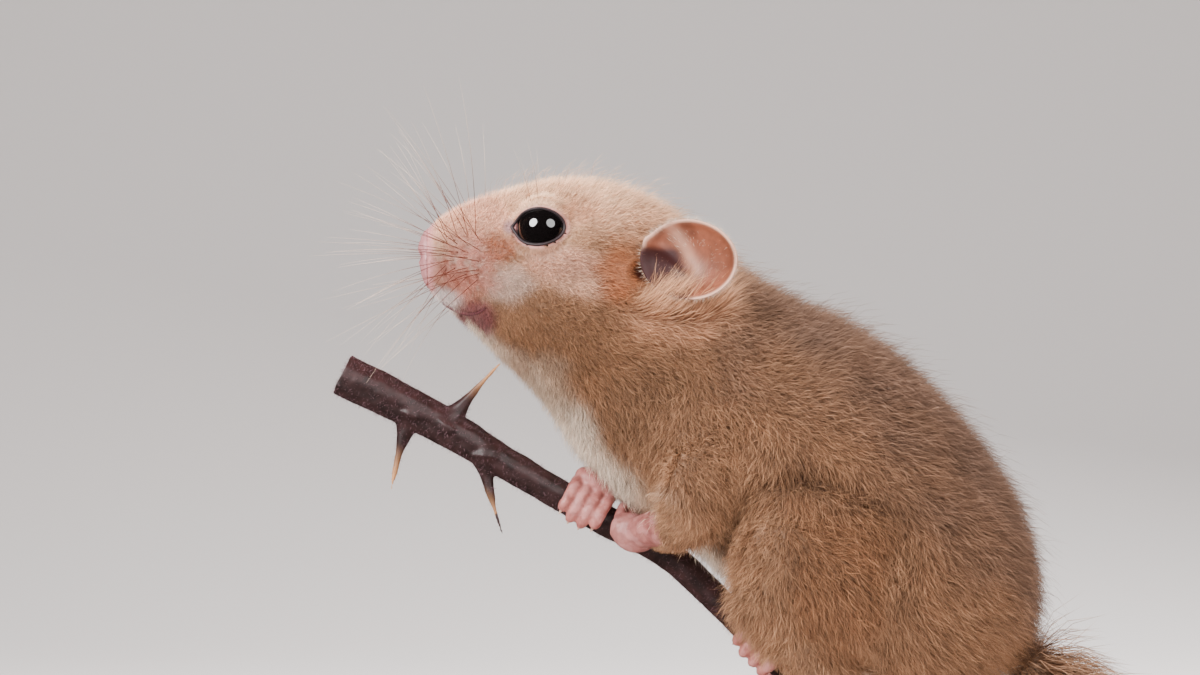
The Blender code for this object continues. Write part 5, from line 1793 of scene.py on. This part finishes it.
# The rod's foot on the base: height and radius. Then its top end: distance below the top, and radius.
ROD_FOOT = ((4.0, 3.2), (4.9, 3.2), (5.2, 3.0), (5.4, 2.4), (5.5, 1.5))
ROD_END = ((1.2, 1.5), (0.4, 1.45), (0.0, 1.1))
ROD_COLOUR = (0.66, 0.64, 0.61)


def upright(name, x, sides, profile, crease):
    """A closed round or oval shape that stands at x, by rows of height and half widths in x and y.

    Its edges are sharp where they turn by more than the crease, in degrees.
    """
    k = turns(sides)
    rings = []
    for height, wide, deep in profile:
        rings.append(np.stack([x + wide * np.cos(k), deep * np.sin(k), np.full(sides, height)], 1))
    obj = closed_loft(name, rings)
    obj.data.set_sharp_from_angle(angle=math.radians(crease))
    return obj


def make_stand():
    """Builds the oval wooden base, and the rod from it to the stem."""
    profile = [(height, BASE_HALF[0] - inset, BASE_HALF[1] - inset) for height, inset in BASE_PROFILE]
    wood = mottled_material(
        "wood_surface", (122, 80, 50), (84, 50, 30), 160.0, 0.42, 0.08, stretch=(0.12, 1.4, 1.4),
        Coat_Weight=0.25, Coat_Roughness=0.2,
    )
    present(upright("stand_plinth", 0.0, BASE_SIDES, profile, 40), wood, "base_wood", "stand_base")
    shares = np.linspace(0, 1, 400)
    over_rod = shares[np.argmin([abs(stem_frame(s)[0][0] - ROD_X) for s in shares])]
    top = stem_frame(over_rod)[0][2] - ROD_SINK
    profile = [(height, radius, radius) for height, radius in ROD_FOOT]
    profile += [(top - below, radius, radius) for below, radius in ROD_END]
    metal = plain_material("metal_surface", ROD_COLOUR, 0.35, Metallic=0.6)
    present(upright("stand_post", ROD_X, ROD_SIDES, profile, 35), metal, "rod_metal", "stand_rod")


# The stage

FLOOR_HALF = 3000
FLOOR_FRONT = -2500.0
FLOOR_BEND = 500  # where the floor starts to curve up behind the model, and the curve's radius
FLOOR_TOP = 3000.0
FLOOR_COLOUR = (0.72, 0.68, 0.66)
WORLD_COLOUR = (0.80, 0.73, 0.73)
WORLD_STRENGTH = 0.62
# Lamps: the way to each from the model's middle, its distance and size in metres, its power, and whether
# reflections show it.
LAMPS = (
    ("key", (-0.66, -0.62, 0.44), 0.50, 0.28, 5.4, True),
    ("fill", (0.48, -0.78, 0.42), 0.55, 0.34, 2.2, True),
    ("top", (-0.05, -0.10, 1.0), 0.55, 0.35, 6.0, False),
    ("rim", (0.35, 0.85, 0.55), 0.60, 0.25, 4.0, False),
)
MODEL_MIDDLE = Vector((-0.02, 0, 0.075))  # in metres
LENS = 100
SENSOR = 36


def make_floor():
    """The floor, which curves up into a wall behind the model."""
    profile = [(FLOOR_FRONT, 0.0), (FLOOR_BEND, 0.0)]
    for a in np.linspace(0, math.pi / 2, 25)[1:]:
        profile.append((FLOOR_BEND + FLOOR_BEND * math.sin(a), FLOOR_BEND - FLOOR_BEND * math.cos(a)))
    profile.append((2.0 * FLOOR_BEND, FLOOR_TOP))
    points = [(x, y, z) for y, z in profile for x in (-FLOOR_HALF, FLOOR_HALF)]
    faces = [(2 * i, 2 * i + 1, 2 * i + 3, 2 * i + 2) for i in range(len(profile) - 1)]
    floor = mesh_object("floor", points, faces)
    floor.data.materials.append(plain_material("floor_paint", FLOOR_COLOUR, 0.8))
    floor.visible_glossy = False


def make_lamp(name, way, distance, size, power, reflected):
    lamp = bpy.data.lights.new(name, "AREA")
    lamp.shape = "DISK"
    lamp.size = size
    lamp.energy = power
    obj = add_object(name, lamp)
    way = Vector(way).normalized()
    obj.location = MODEL_MIDDLE + way * distance
    obj.rotation_euler = (-way).to_track_quat("-Z", "Y").to_euler()
    obj.visible_glossy = reflected


def make_stage():
    """Sets the floor, the world, the lamps and a camera that sees what the photograph shows."""
    make_floor()
    world = bpy.data.worlds.new("studio")
    world.use_nodes = True
    background = world.node_tree.nodes["Background"]
    background.inputs["Color"].default_value = (*WORLD_COLOUR, 1)
    background.inputs["Strength"].default_value = WORLD_STRENGTH
    bpy.context.scene.world = world
    world.cycles_visibility.glossy = False
    for lamp in LAMPS:
        make_lamp(*lamp)
    lens = bpy.data.cameras.new("camera")
    lens.lens = LENS
    lens.sensor_width = SENSOR
    lens.clip_start = 0.01
    lens.clip_end = 20
    camera = add_object("camera", lens)
    wide = PHOTO_SIZE[0] * MM_PER_PIXEL * MM
    camera.location = (PHOTO_CENTRE[0] * MM, -wide * LENS / SENSOR, PHOTO_CENTRE[1] * MM)
    camera.rotation_euler = (math.pi / 2, 0, 0)
    bpy.context.scene.camera = camera


# Settings, operators and panel

def colour_setting(name, description, red, green, blue):
    return bpy.props.FloatVectorProperty(
        name=name, description=description, default=tuple(linear(red, green, blue)), min=0, max=1, size=3,
        subtype="COLOR",
    )


class DormouseSizes(bpy.types.PropertyGroup):
    """Sizes and amounts of the coat and whiskers"""
    hair_length: bpy.props.FloatProperty(
        name="Hair length", description="Length of the hairs as a share of the modelled coat's", default=1.0,
        min=0.5, max=1.2, subtype="FACTOR",
    )
    hair_amount: bpy.props.FloatProperty(
        name="Hair amount", description="Number of hairs as a share of the full coat's", default=1.0,
        min=0.1, max=1.0, subtype="FACTOR",
    )
    hair_width: bpy.props.FloatProperty(
        name="Hair width", description="Width of a body hair at its root", default=0.00006,
        min=0.00003, max=0.0002, precision=6, subtype="DISTANCE", unit="LENGTH",
    )
    whisker_width: bpy.props.FloatProperty(
        name="Whisker width", description="Width of a whisker at its root", default=0.00007,
        min=0.00004, max=0.0003, precision=6, subtype="DISTANCE", unit="LENGTH",
    )


class DormouseColours(bpy.types.PropertyGroup):
    """Main colours of the coat and eyes"""
    back: colour_setting("Back", "Coat on the back", 134, 104, 86)
    side: colour_setting("Side", "Coat on the sides and flanks", 170, 125, 91)
    underside: colour_setting("Underside", "Coat on the throat, chest and belly", 238, 218, 196)
    crown: colour_setting("Crown", "Coat on the top of the head", 236, 184, 146)
    tail: colour_setting("Tail", "Tail's hairs at its root", 160, 122, 94)
    tail_tip: colour_setting("Tail tip", "Tail's hairs at its tip", 124, 92, 72)
    eye: colour_setting("Eye", "Surface of the eyes", 9, 7, 7)


# Operators

class PieceOperator:
    """Runs one builder. A builder that fails raises, and stops the script."""
    bl_options = {"REGISTER", "UNDO"}
    build = None

    def execute(self, context):
        type(self).build()
        return {"FINISHED"}


class DORMOUSE_OT_skin(PieceOperator, bpy.types.Operator):
    """Builds the one skin under the coat"""
    bl_idname = "dormouse.skin"
    bl_label = "Skin"
    build = staticmethod(make_skin)


class DORMOUSE_OT_coat(PieceOperator, bpy.types.Operator):
    """Grows the coat from the skin"""
    bl_idname = "dormouse.coat"
    bl_label = "Coat"
    build = staticmethod(make_coat)


class DORMOUSE_OT_eyes(PieceOperator, bpy.types.Operator):
    """Builds the eyes and their rims"""
    bl_idname = "dormouse.eyes"
    bl_label = "Eyes"
    build = staticmethod(make_eyes)


class DORMOUSE_OT_ears(PieceOperator, bpy.types.Operator):
    """Builds the ears"""
    bl_idname = "dormouse.ears"
    bl_label = "Ears"
    build = staticmethod(make_ears)


class DORMOUSE_OT_nose(PieceOperator, bpy.types.Operator):
    """Builds the nose and mouth"""
    bl_idname = "dormouse.nose"
    bl_label = "Nose and mouth"
    build = staticmethod(make_nose)


class DORMOUSE_OT_whiskers(PieceOperator, bpy.types.Operator):
    """Builds the whiskers"""
    bl_idname = "dormouse.whiskers"
    bl_label = "Whiskers"
    build = staticmethod(make_whiskers)


class DORMOUSE_OT_feet(PieceOperator, bpy.types.Operator):
    """Builds the feet and claws"""
    bl_idname = "dormouse.feet"
    bl_label = "Feet"
    build = staticmethod(make_feet)


class DORMOUSE_OT_perch(PieceOperator, bpy.types.Operator):
    """Builds the bramble stem with its prickles and down"""
    bl_idname = "dormouse.perch"
    bl_label = "Perch"
    build = staticmethod(make_perch)


class DORMOUSE_OT_stand(PieceOperator, bpy.types.Operator):
    """Builds the base and rod"""
    bl_idname = "dormouse.stand"
    bl_label = "Stand"
    build = staticmethod(make_stand)


class DORMOUSE_OT_stage(PieceOperator, bpy.types.Operator):
    """Sets the floor, the lights and the camera"""
    bl_idname = "dormouse.stage"
    bl_label = "Stage"
    build = staticmethod(make_stage)


OPERATORS = (
    DORMOUSE_OT_skin,
    DORMOUSE_OT_coat,
    DORMOUSE_OT_eyes,
    DORMOUSE_OT_ears,
    DORMOUSE_OT_nose,
    DORMOUSE_OT_whiskers,
    DORMOUSE_OT_feet,
    DORMOUSE_OT_perch,
    DORMOUSE_OT_stand,
    DORMOUSE_OT_stage,
)


class DORMOUSE_PT_panel(bpy.types.Panel):
    """The model's pieces, in the order in which they are built"""
    bl_label = "Dormouse"
    bl_space_type = "VIEW_3D"
    bl_region_type = "UI"
    bl_category = "Dormouse"

    def draw(self, context):
        for settings in (context.scene.dormouse_sizes, context.scene.dormouse_colours):
            for name in type(settings).__annotations__:
                self.layout.prop(settings, name)
        for operator in OPERATORS:
            self.layout.operator(operator.bl_idname)


CLASSES = (DormouseSizes, DormouseColours, *OPERATORS, DORMOUSE_PT_panel)


def register():
    for kind in CLASSES:
        bpy.utils.register_class(kind)
    bpy.types.Scene.dormouse_sizes = bpy.props.PointerProperty(type=DormouseSizes)
    bpy.types.Scene.dormouse_colours = bpy.props.PointerProperty(type=DormouseColours)


def unregister():
    del bpy.types.Scene.dormouse_colours
    del bpy.types.Scene.dormouse_sizes
    for kind in reversed(CLASSES):
        bpy.utils.unregister_class(kind)


def main():
    register()
    for operator in OPERATORS:
        group, name = operator.bl_idname.split(".")
        getattr(getattr(bpy.ops, group), name)()


if __name__ == "__main__":
    main()
